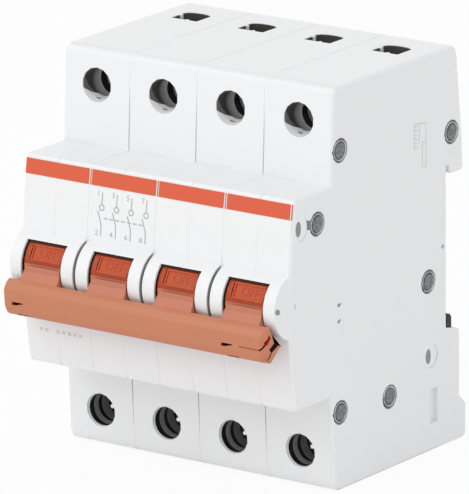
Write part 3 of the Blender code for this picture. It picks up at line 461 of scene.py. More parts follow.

# Window shades. Black strips on the cheeks' inner walls and above the drum are painted shade for the gaps
# round the drum, and show as a dark line round three sides of each window.
WINDOW_HALF, GAP_SHADE_THICKNESS, GAP_SHADE_REACH, GAP_SHADE_DEPTH = 5.3, 0.17, 6.56, 2.0
TOP_SHADE_REACH, TOP_SHADE_THICKNESS = 6.76, 0.12
# Painted shade: near-black strips where the gaps round the drum lie in shadow.
gap_shade_black = moulded("gap_shade_black", (0.010, 0.008, 0.008), 0.6, grain_depth=0.01)
bm = bmesh.new()
for middle in POLE_MIDDLES:
    for side in (1, -1):
        low, high = sorted((side * WINDOW_HALF, side * (WINDOW_HALF - GAP_SHADE_THICKNESS)))
        arc = drum_arc(GAP_SHADE_REACH, range(-12 if side > 0 else -60, 61, 8))
        add_band(bm, arc, middle + low, middle + high, 0.0, GAP_SHADE_DEPTH)
    add_band(bm, drum_arc(TOP_SHADE_REACH, (49.5, 52, 55, 58)), middle - WINDOW_HALF, middle + WINDOW_HALF,
             0.0, TOP_SHADE_THICKNESS)
finish_piece("window_linings", bm, gap_shade_black, slot="dark_polyamide")

# Cheek flanks. A white flank on the side of each cheek narrows the slit between neighbouring poles, and a
# thin grey plate on it is painted shade that darkens the slit.
CHEEK_SIDE = 8.15
# Painted shade: the grey plates stand for the shade in the slit between cheeks.
slit_shade_grey = moulded("slit_shade_grey", (0.42, 0.42, 0.42), 0.6, shade=0.2, grain=0.4, grain_depth=0.01)


def plane_at(axis, level):
    """A mapping from two coordinates to a plane across an axis."""
    def place(a, b):
        point = [a, b]
        point.insert("XYZ".index(axis), level)
        return point
    return place


for name, material, slot, reach, low, high in (
        ("cheek_flanks", white_shell, "white_polyamide", 7.06, CHEEK_SIDE - 0.1, CHEEK_SIDE + 0.2),
        ("cheek_pads", slit_shade_grey, "dark_polyamide", 6.95, CHEEK_SIDE + 0.1, CHEEK_SIDE + 0.26)):
    pad = drum_arc(reach, range(-72, 73, 6))
    slab_piece(name, material, [([pad], plane_at("X", x + side * (POLE_PITCH / 2 - low)),
                                 plane_at("X", x + side * (POLE_PITCH / 2 - high)))
                                for x in JOINTS for side in (1, -1)], slot=slot)

# Lever sleeves. The lever of each toggle is clad in the bar's polyamide: a thin skin on the drum from
# under the label, and a sleeve over the lever that runs down into the bar, nearly as wide as the window.
SLEEVE_HALF, SLEEVE_LEFT_TOP, SLEEVE_LEFT_HIGH, SLEEVE_SLANT = 4.72, -3.6, -1.4, 0.1
SLEEVE_RIGHT = 5.04
SLEEVE_SECTION = [(-7.24, 0.51), (-7.26, 0.0), (-7.21, -0.73), (-8.1, -2.48), (-8.7, -4.2), (-6.5, -5.4),
                  (-5.0, -4.1), (-5.83, -2.12), (-6.72, -2.45), (-6.97, -1.61), (-7.12, -0.8),
                  (-7.14, 0.0), (-7.12, 0.5)]
SKIN_TOP, SKIN_FOOT, SKIN_REACH, SKIN_THICKNESS = 7, -33, 6.44, 0.3
sleeve_orange = moulded("sleeve_orange", (0.56, 0.198, 0.120), 0.45, shade=0.10, grain=0.35, specular=0.4)
bm = bmesh.new()
skin = drum_arc(SKIN_REACH, range(SKIN_FOOT, SKIN_TOP + 1, 4))
lowered = [(y, min(z, SLEEVE_LEFT_HIGH + SLEEVE_SLANT * z)) for y, z in SLEEVE_SECTION]
for middle in POLE_MIDDLES:
    add_band(bm, skin, middle - SLEEVE_HALF, middle + SLEEVE_RIGHT, 0.0, SKIN_THICKNESS)
    add_loft(bm, [[(middle + x, DRUM_AXIS.x + y, z) for y, z in section]
                  for x, section in ((-SLEEVE_HALF, lowered), (SLEEVE_LEFT_TOP, SLEEVE_SECTION),
                                     (SLEEVE_RIGHT, SLEEVE_SECTION))])
finish_piece("lever_sleeves", bm, sleeve_orange, "handle", "bar_polyamide")

# Handle bar. One hollow moulding of duller orange polyamide gangs the four levers. Latch slots and a parting
# groove break its front.
BAR_HALF = 33.95
BAR_CORNERS = [(-8.0, -2.5, 0.25), (-9.15, -3.2, 0.6), (-10.1, -4.6, 1.2), (-10.2, -8.4, 1.2),
               (-9.7, -9.9, 0.6), (-7.5, -10.62, 0.25), (-3.78, -7.6, 0.15), (-4.42, -6.89, 0.15),
               (-6.3, -6.1, 0.15), (-7.2, -4.0, 0.2)]
END_ROUNDING, FRONT_ROUNDING = 0.3, 0.9
SLOT_BOTTOM, SLOT_TOP = -9.3, -11
FRONT_SLOTS = [(-31.7, -7.45), (22.95, -7.45)]
EDGE_CUTS = [(-30.5, -27.7, -10.4, -9.0, -9.62, -10.0), (24.4, 27.2, -10.4, -9.0, -9.62, -10.0),
             (27.6, 34.5, -10.6, -9.9, -7.1, -7.4)]
END_CHAMFER, CHAMFER_EDGE = 1.25, -8.95
END_SLOT = [[(-8.32, -4.19), (-8.95, -5.07), (-8.95, -6.13), (-7.69, -5.0)],
            [(-8.95, -5.07), (-9.44, -5.75), (-9.22, -6.37), (-8.95, -6.13)]]
END_POCKET = [[(-6.5, -6.38), (-4.65, -7.02), (-7.45, -8.25), (-8.26, -7.39)]]
END_LINES = [[(-7.3, -8.05), (-7.55, -8.05), (-7.98, -8.55), (-8.92, -9.5), (-8.8, -9.65), (-7.8, -8.8)]]
END_GROOVE = [[(-10.15, -7.1), (-9.8, -6.85), (-9.38, -6.1), (-9.2, -6.28), (-9.7, -7.1), (-10.15, -7.4)]]
bar_orange = moulded("bar_orange", (0.565, 0.207, 0.110), 0.42, shade=0.08, grain=0.35,
                     grain_depth=0.005, specular=0.4)


def front_slot(x, z):
    """The outline of a latch slot in the bar's front, in X and Z."""
    return [(x, z + 0.4), (x, z - 0.35), (x + 1.3, z - 0.3), (x + 1.9, z - 0.02), (x + 2.9, z + 0.1),
            (x + 2.8, z + 0.4)]


def plain_object(name, bm):
    """An object from a mesh as it is."""
    mesh = bpy.data.meshes.new(name)
    bm.to_mesh(mesh)
    bm.free()
    return add_object(name, mesh)


def share(value):
    """A value held between 0 and 1."""
    return max(0.0, min(1.0, value))


section = rounded(BAR_CORNERS, steps=4)
left_reach = [END_ROUNDING + FRONT_ROUNDING * share((-7.2 - point.x) / 2) * share((-6.5 - point.y) / 3)
              for point in section]
right_reach = [END_ROUNDING + (END_CHAMFER - END_ROUNDING) * share(-8.9 - point.x) for point in section]
sections = []
for side, reach, turns in ((-1, left_reach, (90, 60, 30, 0)), (1, right_reach, (0, 90))):
    for turn in turns:
        sweep = math.radians(turn)
        inset = beside(section, [-r * (1 - math.cos(sweep)) for r in reach], closed=True)
        sections.append([(side * (BAR_HALF - r * (1 - math.sin(sweep))), DRUM_AXIS.x + point.x, point.y)
                         for r, point in zip(reach, inset)])
bm = bmesh.new()
add_loft(bm, sections)
bar = plain_object("bar_blank", bm)
bm = bmesh.new()
for x, z in FRONT_SLOTS:
    add_loft(bm, [[(a, DRUM_AXIS.x + y, b) for a, b in front_slot(x, z)]
                  for y in (SLOT_TOP, SLOT_BOTTOM)])
for left, right, *corners in EDGE_CUTS:
    add_loft(bm, [[(x, DRUM_AXIS.x + y, z) for y, z in rectangle(*corners)] for x in (left, right)])
cutter = plain_object("bar_cutter", bm)
cut = bar.modifiers.new("cut", "BOOLEAN")
cut.operation, cut.solver, cut.object = "DIFFERENCE", "EXACT", cutter
cut.use_self = True
bm = bmesh.new()
bm.from_mesh(evaluated_mesh(bar))
bpy.data.objects.remove(bar)
bpy.data.objects.remove(cutter)
bar = finish_piece("gang_bar", bm, bar_orange, "handle", "bar_polyamide")
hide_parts("handle_bar")

# Bar end shades. The slot at each end of the bar is painted dark red as the shade inside it. The pocket and
# lines beside the slot, the groove and the front slots are painted black as the shade of their depth.
END_SHADE_FOOT, END_SHADE_CREST = -0.1, 0.03
FRONT_SHADE_CREST, FRONT_SHADE_FOOT = -9.6, -9.2
# Painted shade: dark red in the end slots, black in the deeper recesses.
slot_shade_red = moulded("slot_shade_red", (0.24, 0.003, 0.001), 0.6, specular=0.1)
deep_shade_black = moulded("deep_shade_black", (0.014, 0.001, 0.001), 0.8, specular=0.08)


def on_bar_end(side, proud):
    """A mapping from Y and Z about the drum's axis to an end of the bar, its chamfer included."""
    def place(y, z):
        reach = BAR_HALF if side < 0 else BAR_HALF + min(0.0, y - CHAMFER_EDGE)
        return side * (reach + proud), DRUM_AXIS.x + y, z
    return place


for name, material, flat, sides in (("bar_end_cores", slot_shade_red, END_SLOT, (-1, 1)),
                                    ("bar_end_pockets", deep_shade_black, END_POCKET + END_LINES, (-1, 1)),
                                    ("bar_end_groove", deep_shade_black, END_GROOVE, (1,))):
    slab_piece(name, material, [(flat, on_bar_end(side, END_SHADE_FOOT), on_bar_end(side, END_SHADE_CREST))
                                for side in sides], "handle", "bar_polyamide", smooth=False)
slab_piece("bar_front_cores", deep_shade_black, [([front_slot(x, z) for x, z in FRONT_SLOTS],
                                            plane_at("Y", DRUM_AXIS.x + FRONT_SHADE_CREST),
                                            plane_at("Y", DRUM_AXIS.x + FRONT_SHADE_FOOT))],
           "handle", "bar_polyamide", smooth=False)

# Rivets. Six steel rivets clamp the eight shells, their heads set in round recesses. The press leaves a
# rolled rim and a mottled, ringed face on each closed head. Each rim is painted a lighter steel as its
# highlight, and each rivet in its recess a near-black steel as the recess's shade.


def metal(name, color, roughness, mottle=0.2, mottle_scale=900.0, bump=0.01):
    """A bare or plated metal with a mottled surface."""
    material, tree, shader = new_material(name)
    where = add_node(tree, "ShaderNodeTexCoord")
    noise = add_node(tree, "ShaderNodeTexNoise",
                     [("Vector", where.outputs["Object"]), ("Scale", mottle_scale), ("Detail", 4.0),
                      ("Roughness", 0.6)])
    ramp = add_node(tree, "ShaderNodeMapRange",
                    [("Value", noise.outputs["Fac"]), ("From Min", 0.3), ("From Max", 0.7),
                     ("To Min", 1 - mottle), ("To Max", 1 + mottle)])
    shade = add_node(tree, "ShaderNodeVectorMath", [(0, color), ("Scale", ramp.outputs["Result"])],
                     operation="SCALE")
    rough = add_node(tree, "ShaderNodeMapRange",
                     [("Value", noise.outputs["Fac"]), ("To Min", roughness * 1.3),
                      ("To Max", roughness * 0.7)])
    relief = add_node(tree, "ShaderNodeBump",
                      [("Height", noise.outputs["Fac"]), ("Strength", 1.0), ("Distance", bump * MM)])
    for label, node in (("Base Color", shade), ("Roughness", rough), ("Normal", relief)):
        tree.links.new(node.outputs[0], shader.inputs[label])
    shader.inputs["Metallic"].default_value = 1.0
    return material


RIVETS = [(-39.99, 30.1), (1.6, 25.1), (-48.3, 16.1), (-7.2, -6.0), (-40.07, -26.9), (-21.8, -27.85)]
SIDE_FACE = 34.85
RIM_PROFILE = [(0, -0.04), (1.95, -0.04), (2.06, 0.06), (2.2, 0.05), (2.27, -0.05), (2.28, -0.3), (0, -0.3)]
CAP_PROFILE = [(0, 0.12), (0.5, 0.1), (0.85, 0.03), (1.0, 0.09), (1.45, 0.05), (1.7, 0.0),
               (1.78, -0.2), (0, -0.2)]
CAP_SHIFT = (0.16, -0.1)
rivet_steel = metal("rivet_steel", (0.245, 0.247, 0.25), 0.5, mottle=0.42, mottle_scale=1700.0,
                    bump=0.05)
# Painted highlight: the rims are a lighter steel than the caps.
rim_highlight_steel = metal("rim_highlight_steel", (0.50, 0.50, 0.51), 0.3, mottle=0.5, mottle_scale=500.0)
# Painted shade: the rivets in their recesses are a near-black steel.
recess_shade_steel = metal("recess_shade_steel", (0.10, 0.10, 0.105), 0.5, mottle=0.3, mottle_scale=1400.0)
dress("rivet_", recess_shade_steel)


def end_tree(tree, grown, taken, out):
    """Close a tree as the export needs it: instances made real, then the material set."""
    real = add_node(tree, "GeometryNodeRealizeInstances", [("Geometry", grown)])
    dressed = add_node(tree, "GeometryNodeSetMaterial",
                       [("Geometry", real.outputs[0]), ("Material", taken.outputs["Material"])])
    tree.links.new(dressed.outputs[0], out.inputs["Geometry"])


def grow(name, tree, points, **values):
    """What a tree makes of some points, as a bmesh."""
    seed = bpy.data.meshes.new(name)
    seed.from_pydata([Vector(point) for point in points], [], [])
    maker = add_object(name, seed)
    step = maker.modifiers.new(name, "NODES")
    step.node_group = tree
    sockets = {item.name: item.identifier for item in tree.interface.items_tree
               if item.in_out == "INPUT"}
    for label, value in values.items():
        step[sockets[label]] = value
    made = evaluated_mesh(maker)
    bpy.data.objects.remove(maker)
    bm = bmesh.new()
    bm.from_mesh(made)
    bpy.data.meshes.remove(made)
    return bm


def lathe(bm, profile, sides, axis="X"):
    """A closed turned piece from (radius, height) points, about X or about Y."""
    rings = []
    for radius, height in profile:
        if radius == 0:
            rings.append([bm.verts.new((height, 0, 0) if axis == "X" else (0, height, 0))])
            continue
        ring_verts = []
        for step in range(sides):
            angle = 2 * math.pi * step / sides
            a, b = radius * math.cos(angle), radius * math.sin(angle)
            ring_verts.append(bm.verts.new((height, a, b) if axis == "X" else (a, height, b)))
        rings.append(ring_verts)
    closed = rings if profile[0][0] == 0 else rings + rings[:1]
    for one, two in zip(closed, closed[1:]):
        for step in range(sides):
            after = (step + 1) % sides
            corners = [one[step % len(one)], one[after % len(one)], two[after % len(two)],
                       two[step % len(two)]]
            bm.faces.new(list(dict.fromkeys(corners)))


heads, heads_in, heads_out = add_group(
    "rivet_heads", "GeometryNodeTree",
    [("Geometry", "Geometry"), ("Piece", "Object"), ("Spread", "Float"), ("Material", "Material")],
    [("Geometry", "Geometry")])
head_in = add_node(heads, "GeometryNodeObjectInfo", [("Object", heads_in.outputs["Piece"])])
both = add_node(heads, "GeometryNodeJoinGeometry")
for side in (1, -1):
    spread = add_node(heads, "ShaderNodeMath", [(0, heads_in.outputs["Spread"]), (1, side)],
                      operation="MULTIPLY")
    outward = add_node(heads, "ShaderNodeCombineXYZ", [("X", spread.outputs[0])])
    moved = add_node(heads, "GeometryNodeSetPosition",
                     [("Geometry", heads_in.outputs["Geometry"]), ("Offset", outward.outputs[0])])
    copies = add_node(heads, "GeometryNodeInstanceOnPoints",
                      [("Points", moved.outputs[0]), ("Instance", head_in.outputs["Geometry"]),
                       ("Scale", (side, 1, 1))])
    heads.links.new(copies.outputs[0], both.inputs[0])
end_tree(heads, both.outputs[0], heads_in, heads_out)
for name, profile, shift, material in (
        ("rivet_rims", RIM_PROFILE, (0, 0), rim_highlight_steel),
        ("rivet_caps", CAP_PROFILE, CAP_SHIFT, rivet_steel)):
    bm = bmesh.new()
    lathe(bm, profile, 32)
    one = plain_object(name + "_one", bm)
    bm = grow(name, heads, [(0, y + shift[0], z + shift[1]) for y, z in RIVETS], Piece=one,
              Spread=SIDE_FACE, Material=material)
    bpy.data.objects.remove(one)
    finish_piece(name, bm, material, slot="rivet_steel")

# Terminals. Zinc-plated steel cages that nickel-plated screws draw forward onto the wire, and the bare
# copper and drawn wire of each pole's contacts.
zinc_plate = metal("zinc_plate", (0.55, 0.55, 0.53), 0.35, mottle=0.12)
nickel_plate = metal("nickel_plate", (0.62, 0.62, 0.60), 0.22, mottle=0.1)
copper = metal("copper", (0.78, 0.42, 0.25), 0.3, mottle=0.12)
spring_steel = metal("spring_steel", (0.42, 0.42, 0.44), 0.3, mottle=0.12)
for word, material in (("_cage", zinc_plate), ("_screw", nickel_plate), ("_contact", copper),
                       ("_strip", copper), ("_link", spring_steel)):
    dress(word, material)

# Screw hole insides. Behind the white rim of each screw hole the wall is painted shade: dark where it lies
# in shade, mid grey along the edge of that shade and black deeper in, with lighter steps that centre the
# blade. The upper ones stop short below, where the white wall of the hole still shows.
SCREW_HEIGHT, HOLE_RADIUS, FACE_Y = 36.1, 3.8, -42.68
# Painted shade: dark on shaded walls, black deeper in, mid grey along the edge of the shade.
opening_shade_dark = moulded("opening_shade_dark", (0.075, 0.075, 0.072), 0.35, shade=0.2)
depth_shade_black = moulded("depth_shade_black", (0.008, 0.008, 0.008), 0.5)
guide_grey = moulded("guide_grey", (0.27, 0.27, 0.27), 0.35, shade=0.1)
hole_half_shade = moulded("hole_half_shade", (0.20, 0.20, 0.20), 0.4, shade=0.1)
UPPER_STEP, UPPER_END, DEPTH_SHADE_END, HOLE_SIDES = 3.2, 6.0, 8.4, 36
LOWER_START = 0.75
LOWER_STEPS = [(2.4, 3.7), (5.2, 7.3)]
# Painted light: the upper steps run from near black to light grey with depth.
fade, fade_tree, fade_shader = new_material("hole_light_fade")
spot = add_node(fade_tree, "ShaderNodeTexCoord")
parts = add_node(fade_tree, "ShaderNodeSeparateXYZ", [("Vector", spot.outputs["Object"])])
deeper = add_node(fade_tree, "ShaderNodeMapRange",
                  [("Value", parts.outputs["Y"]), ("From Min", (RAIL_SEAT.y + FACE_Y + UPPER_STEP) * MM),
                   ("From Max", (RAIL_SEAT.y + FACE_Y + UPPER_END) * MM), ("To Min", 0.08),
                   ("To Max", 0.9)])
greys = add_node(fade_tree, "ShaderNodeCombineColor",
                 [(channel, deeper.outputs["Result"]) for channel in ("Red", "Green", "Blue")])
fade_tree.links.new(greys.outputs[0], fade_shader.inputs["Base Color"])
fade_shader.inputs["Roughness"].default_value = 0.4

rows, rows_in, rows_out = add_group(
    "terminal_rows", "GeometryNodeTree",
    [("Geometry", "Geometry"), ("Piece", "Object"), ("Poles", "Int"), ("Pitch", "Float"),
     ("Height", "Float"), ("Material", "Material")], [("Geometry", "Geometry")])
piece_in = add_node(rows, "GeometryNodeObjectInfo", [("Object", rows_in.outputs["Piece"])])
step_out = add_node(rows, "ShaderNodeCombineXYZ", [("X", rows_in.outputs["Pitch"])])
less = add_node(rows, "ShaderNodeMath", [(0, rows_in.outputs["Poles"]), (1, 1)], operation="SUBTRACT")
back_off = add_node(rows, "ShaderNodeMath",
                    [(0, less.outputs[0]), (1, rows_in.outputs["Pitch"])], operation="MULTIPLY")
halved = add_node(rows, "ShaderNodeMath", [(0, back_off.outputs[0]), (1, -0.5)], operation="MULTIPLY")
first = add_node(rows, "ShaderNodeCombineXYZ",
                 [("X", halved.outputs[0]), ("Z", rows_in.outputs["Height"])])
line = add_node(rows, "GeometryNodeMeshLine",
                [("Count", rows_in.outputs["Poles"]), ("Start Location", first.outputs[0]),
                 ("Offset", step_out.outputs[0])])
copies = add_node(rows, "GeometryNodeInstanceOnPoints",
                  [("Points", line.outputs[0]), ("Instance", piece_in.outputs["Geometry"])])
end_tree(rows, copies.outputs[0], rows_in, rows_out)


def add_terminal_row(name, bm, material, slot, height):
    """One piece drawn about a terminal's axis, repeated along the row of poles."""
    one = plain_object(name + "_one", bm)
    row = grow(name, rows, [(0, 0, 0)], Piece=one, Poles=POLES, Pitch=POLE_PITCH, Height=height,
               Material=material)
    bpy.data.objects.remove(one)
    finish_piece(name, row, material, slot=slot)


def add_patch(bm, edges, thickness, steps):
    """A curved plate on a hole's wall; edges gives (depth, first angle, last angle, radius) rows."""
    outer, inner = [], []
    for depth, start, end, radius in edges:
        turns = [math.radians(start + (end - start) * step / steps) for step in range(steps + 1)]
        for rows, reach in ((outer, radius), (inner, radius - thickness)):
            rows.append([bm.verts.new((reach * math.cos(turn), FACE_Y + depth, reach * math.sin(turn)))
                         for turn in turns])
    for one, two in ((outer[0], inner[0]), (outer[-1], inner[-1]),
                     *([[row[index] for row in rows] for rows in (outer, inner)] for index in (0, -1))):
        join_rings(bm, [one, two], closed=False)
    join_rings(bm, outer, closed=False)
    join_rings(bm, inner, closed=False)


wall = HOLE_RADIUS - 0.02
for name, material, slot, patches in (
        ("upper_guides", opening_shade_dark, "dark_polyamide", [
            ([(0.24, -50, 156, wall), (1.0, -50, 170, wall), (2.0, -52, 196, wall),
              (UPPER_STEP, -55, 232, wall), (4.2, -56, 250, wall)], 0.12, 24),
            ([(1.2, 253, 268, 3.36), (1.45, 250, 272, 3.28)], 0.1, 4)]),
        ("upper_guide_edges", hole_half_shade, "dark_polyamide", [
            ([(0.2, 150, 200, wall), (1.0, 165, 210, wall), (2.0, 190, 222, wall),
              (UPPER_STEP, 226, 240, wall)], 0.08, 24)]),
        ("upper_ramps", white_shell, "white_polyamide", [
            ([(0.06, 196, 342, wall), (0.6, 205, 334, 3.56), (1.5, 222, 322, 3.3),
              (2.8, 242, 304, 3.05)], 0.06, 24)])):
    bm = bmesh.new()
    for edges, thickness, steps in patches:
        add_patch(bm, edges, thickness, steps)
    add_terminal_row(name, bm, material, slot, SCREW_HEIGHT)
for name, side, material, slot, profiles in (
        ("upper_guide_steps", 1, fade, "dark_polyamide",
         [[(3.76, UPPER_STEP), (3.62, UPPER_STEP), (3.34, UPPER_END), (3.76, UPPER_END)]]),
        ("upper_guide_ends", 1, depth_shade_black, "dark_polyamide",
         [[(3.76, UPPER_END), (3.6, UPPER_END), (3.6, DEPTH_SHADE_END), (3.76, DEPTH_SHADE_END)]]),
        ("lower_guides", -1, depth_shade_black, "dark_polyamide",
         [[(3.77, LOWER_START), (3.66, LOWER_START), (3.66, DEPTH_SHADE_END), (3.77, DEPTH_SHADE_END)]]),
        ("lower_guide_steps", -1, guide_grey, "dark_polyamide",
         [[(3.7, start), (3.6, start), (3.38, end), (3.7, end)] for start, end in LOWER_STEPS]),
        ("lower_collars", -1, white_shell, "white_polyamide",
         [[(3.79, 0.24), (3.6, LOWER_START), (3.79, LOWER_START)]])):
    bm = bmesh.new()
    for profile in profiles:
        lathe(bm, [(radius, FACE_Y + depth) for radius, depth in profile], HOLE_SIDES, "Y")
    add_terminal_row(name, bm, material, slot, side * SCREW_HEIGHT)

# Blade stops. A small white tab in the rim of each lower screw hole, moulded with the shell, that
# keeps the blade from slipping out.
TAB_ANGLE, TAB_FOOT, TAB_REACH = 24, 0.6, 3.9
tab = [Vector((2.95, -0.35)), Vector((TAB_REACH, -0.45)), Vector((TAB_REACH, 0.45)), Vector((2.95, 0.35))]
for point in tab:
    point.rotate(Matrix.Rotation(math.radians(TAB_ANGLE), 2))
bm = bmesh.new()
add_loft(bm, [[(x, FACE_Y + depth, z) for x, z in tab] for depth in (0.02, TAB_FOOT)])
add_terminal_row("blade_stops", bm, white_shell, "white_polyamide", -SCREW_HEIGHT)

# Wire entries. A dark sheet inside each way in for a wire is painted shade for the entry's dark inside,
# behind a white rib at the left and a white tooth that marks the middle of the mouth.
ENTRY_HALF, ENTRY_FRONT, ENTRY_BACK = 3.4, -11.1, -4.55
ENTRY_BOW = ENTRY_HALF * 0.45
ENTRY_SHADE_WALL, ENTRY_SHADE_TOP, ENTRY_SHADE_BOTTOM = 0.22, 43.9, 41.2
entry = [(-ENTRY_HALF, ENTRY_FRONT), (ENTRY_HALF, ENTRY_FRONT)]
entry += [(ENTRY_HALF * math.cos(math.pi * step / 10),
           ENTRY_BACK - ENTRY_BOW + ENTRY_BOW * math.sin(math.pi * step / 10)) for step in range(11)]
for row_name, side in (("upper", 1), ("lower", -1)):
    bm = bmesh.new()
    inner = beside(entry, -ENTRY_SHADE_WALL, closed=True)
    rings = [[bm.verts.new((*point, side * z)) for point in path]
             for path, z in ((entry, ENTRY_SHADE_TOP), (inner, ENTRY_SHADE_TOP), (inner, ENTRY_SHADE_BOTTOM),
                             (entry, ENTRY_SHADE_BOTTOM))]
    join_rings(bm, rings + rings[:1])
    add_terminal_row(row_name + "_wire_guides", bm, opening_shade_dark, "zinc_plated_steel", 0.0)
    bm = bmesh.new()
    for corners, foot, crest in (([(-3.4, -8.2), (-2.85, -8.0), (-2.85, -7.3), (-3.4, -7.1)], 36.0, 43.95),
                                 ([(0.0, -11.2), (1.5, -11.2), (0.75, -10.3)], 41.5, 43.98)):
        add_loft(bm, [[(x, y, side * z) for x, y in corners] for z in (foot, crest)])
    add_terminal_row(row_name + "_entry_ribs", bm, white_shell, "white_polyamide", 0.0)

# Rail clips. Slides in the foot, one for each pole, that snap behind the rail's lower flange on their
# springs. They are coloured near black.
clip_black = moulded("clip_black", (0.012, 0.012, 0.013), 0.4, grain=0.4, grain_depth=0.01)
dress("_clip", clip_black)

# Side face details. A stripping-length symbol in low relief, two ringed blind holes, the short studded
# slot that ties one of them to the nose rivet, and small marks, all moulded in the last shell.
shadow_grey = moulded("shadow_grey", (0.20, 0.20, 0.205), 0.55, shade=0.3, grain=0.5, grain_depth=0.03)
SUNK, MARK_CREST = -0.05, 0.03
TICKS, TICKS_TOP, TICK_PITCH = 6, 29.3, 0.9
hole_grey = moulded("hole_grey", (0.27, 0.27, 0.275), 0.5, shade=0.2, grain_depth=0.01)


def on_side(low, high, flat):
    """A layer of plates on the right side face, between two heights over it."""
    return flat, plane_at("X", SIDE_FACE + low), plane_at("X", SIDE_FACE + high)


paths = [[(-12.5, 29.9), (-12.5, 24.2)]]
for step in range(TICKS):
    z = TICKS_TOP - step * TICK_PITCH
    paths.append([(-12.4, z), (-11.3, z - 0.3)])
paths += [[(-12.4, 29.8), (-8.1, 29.2)], [(-10.6, 29.5), (-10.6, 25.4)],
          [(-8.1, 29.2), (-8.1, 19.6), (-9.45, 19.9), (-9.45, 25.3), (-8.1, 25.0)]]
flat = [face for points in paths for face in ribbon(points, THIN_LINE)]
slab_piece("strip_length_symbol", faint_ink_and_shade, [on_side(SUNK, 0.05, flat)])

HOLE_HALF_WIDTH, HOLE_HALF_HEIGHT, RING_SIDES = 0.95, 1.65, 40
RING_SHIFT, RING_FOOT, RING_CREST, CHEEK_SINK = 0.45, 2.7, 2.1, -0.45
BLIND_HOLES = [(-55.2, 16.5, -57.3), (-7.32, -22.64, -100)]
holes, shades = [], []
bm = bmesh.new()
turns = [2 * math.pi * step / RING_SIDES for step in range(RING_SIDES)]
for hole_y, hole_z, face_edge in BLIND_HOLES:
    hole = [(hole_y + HOLE_HALF_WIDTH * math.cos(turn), hole_z + HOLE_HALF_HEIGHT * math.sin(turn))
            for turn in turns]
    foot, crest = [[(max(hole_y + RING_SHIFT + reach * math.cos(turn), face_edge),
                     hole_z + reach * math.sin(turn)) for turn in turns]
                   for reach in (RING_FOOT, RING_CREST)]
    rings = [[bm.verts.new((SIDE_FACE + height, y, z)) for y, z in path]
             for path, height in ((foot, SUNK), (foot, 0.01), (crest, 0.28), (hole, 0.03), (hole, SUNK))]
    join_rings(bm, rings + rings[:1])
    holes.append(hole)
    shades += ring((hole_y + RING_SHIFT, hole_z), RING_FOOT + 0.1, 0.34, sweep=125, start=-80)
# Painted shade: each blind hole's floor is grey for the shade inside it, and the faint grey arc beside each
# ring is painted shadow.
slab_piece("blind_hole_floors", hole_grey, [on_side(-0.3, 0.02, holes)])
finish_piece("blind_hole_rings", bm, white_shell)
slab_piece("blind_hole_shades", faint_ink_and_shade, [on_side(SUNK, 0.02, shades)])
slab_piece("rivet_neck", shadow_grey,
           [on_side(-0.6, MARK_CREST, [[(-52.3, 15.75), (-50.6, 15.3), (-50.6, 17.4), (-52.3, 17.75)]])])
studs = [face for middle in ((-51.9, 17.1), (-51.3, 16.9), (-51.9, 16.3), (-51.3, 16.2))
         for face in ring(middle, 0.11, 0.16, sides=8)]
slab_piece("neck_studs", guide_grey, [on_side(0.0, 0.08, studs)], slot="rivet_steel")
marks = ring((-1.78, 0.56), 0.25, 0.5) + ribbon([(-56.55, 0.7), (-56.45, -0.3)])
slab_piece("side_marks", grey_ink, [on_side(SUNK, MARK_CREST, marks)])
marks = [[(-41.1, -3.55), (-40.3, -3.75), (-39.8, -3.0), (-41.0, -2.9)],
         [(-41.1, -7.15), (-40.4, -7.25), (-39.9, -6.4), (-41.0, -6.6)]]
slab_piece("latch_marks", hole_grey, [
    on_side(SUNK, MARK_CREST, marks),
    on_side(CHEEK_SINK + SUNK, CHEEK_SINK + MARK_CREST, ring((-62.31, 0.25), 0.3, 0.6, sides=14))])

# Studio. A pale floor under white light, a broad soft lamp from the upper left, weak ones from the
# right and from low in front, and the camera where the photographer's was.
AZIMUTH, ELEVATION, ROLL = math.radians(35.78), math.radians(15.551), math.radians(-0.453)
DISTANCE, SHIFT_RIGHT, SHIFT_UP = 1598.628 * MM, -17.187 * MM, -5.214 * MM
FOCAL_PIXELS, LONG_SIDE, SENSOR = 7385.118, 494, 36
RAIL_MIDDLE, FLOOR_HALF, SKY_FILL, SKY_SEEN = RAIL_SEAT * MM, 6, 0.815, 1.0
back = Vector((math.sin(AZIMUTH) * math.cos(ELEVATION), -math.cos(AZIMUTH) * math.cos(ELEVATION),
               math.sin(ELEVATION)))
right = Vector((math.cos(AZIMUTH), math.sin(AZIMUTH), 0))
up = back.cross(right)
view_right = right * math.cos(ROLL) + up * math.sin(ROLL)
view_up = up * math.cos(ROLL) - right * math.sin(ROLL)
camera = add_object("camera", bpy.data.cameras.new("camera"))
position = RAIL_MIDDLE + back * DISTANCE + view_right * SHIFT_RIGHT + view_up * SHIFT_UP
camera.matrix_world = (Matrix.Translation(position)
                       @ Matrix((view_right, view_up, back)).transposed().to_4x4())
camera.data.sensor_width = SENSOR
camera.data.lens = FOCAL_PIXELS * SENSOR / LONG_SIDE
camera.data.clip_start, camera.data.clip_end = 0.05, 20
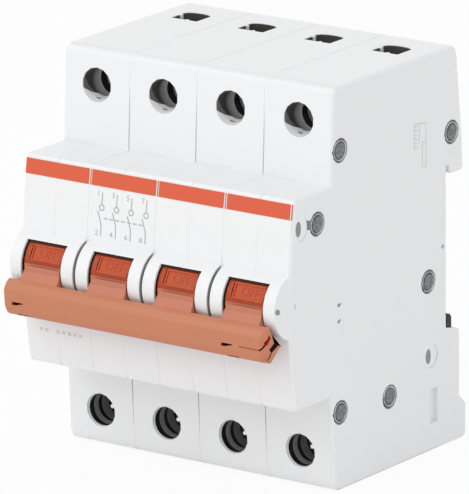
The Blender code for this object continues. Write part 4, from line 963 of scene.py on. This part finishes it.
scene.camera = camera

floor_material, floor_tree, floor_shader = new_material("pale_floor")
floor_shader.inputs["Base Color"].default_value = (0.9, 0.9, 0.9, 1)
floor_shader.inputs["Roughness"].default_value = 0.7
floor_shader.inputs["Specular IOR Level"].default_value = 0.2
seen = add_node(floor_tree, "ShaderNodeLightPath")
glow = add_node(floor_tree, "ShaderNodeEmission")
glare = add_node(floor_tree, "ShaderNodeMath", [(0, seen.outputs["Is Camera Ray"]), (1, 0.9)],
                 operation="MULTIPLY")
mixed = add_node(floor_tree, "ShaderNodeMixShader",
                 [(0, glare.outputs[0]), (1, floor_shader.outputs[0]), (2, glow.outputs[0])])
floor_tree.links.new(mixed.outputs[0], floor_tree.nodes["Material Output"].inputs["Surface"])
bm = bmesh.new()
bmesh.ops.create_grid(bm, x_segments=1, y_segments=1, size=FLOOR_HALF)
floor = plain_object("floor", bm)
floor.data.materials.append(floor_material)

world = bpy.data.worlds.new("studio")
scene.world = world
world.use_nodes = True
sky = world.node_tree
background = sky.nodes["Background"]
ray = add_node(sky, "ShaderNodeLightPath")
direct = add_node(sky, "ShaderNodeMath",
                  [(0, ray.outputs["Is Camera Ray"]), (1, ray.outputs["Is Glossy Ray"])],
                  operation="MAXIMUM")
brightness = add_node(sky, "ShaderNodeMapRange",
                      [("Value", direct.outputs[0]), ("To Min", SKY_FILL), ("To Max", SKY_SEEN)])
sky.links.new(brightness.outputs["Result"], background.inputs["Strength"])
background.inputs["Color"].default_value = (1, 1, 1, 1)

for label, spot, size, power in (("key", (-0.55, -0.95, 0.98), 1.0, 4.2),
                                 ("fill", (1.1, -0.7, 0.45), 1.8, 2.0),
                                 ("low", (-0.15, -1.2, 0.12), 0.8, 0.75)):
    lamp = add_object(label, bpy.data.lights.new(label, "AREA"))
    lamp.data.size = size
    lamp.data.energy = power
    lamp.location = spot
    lamp.rotation_euler = (RAIL_MIDDLE - lamp.location).to_track_quat("-Z", "Y").to_euler()

scene.view_settings.view_transform = "Standard"
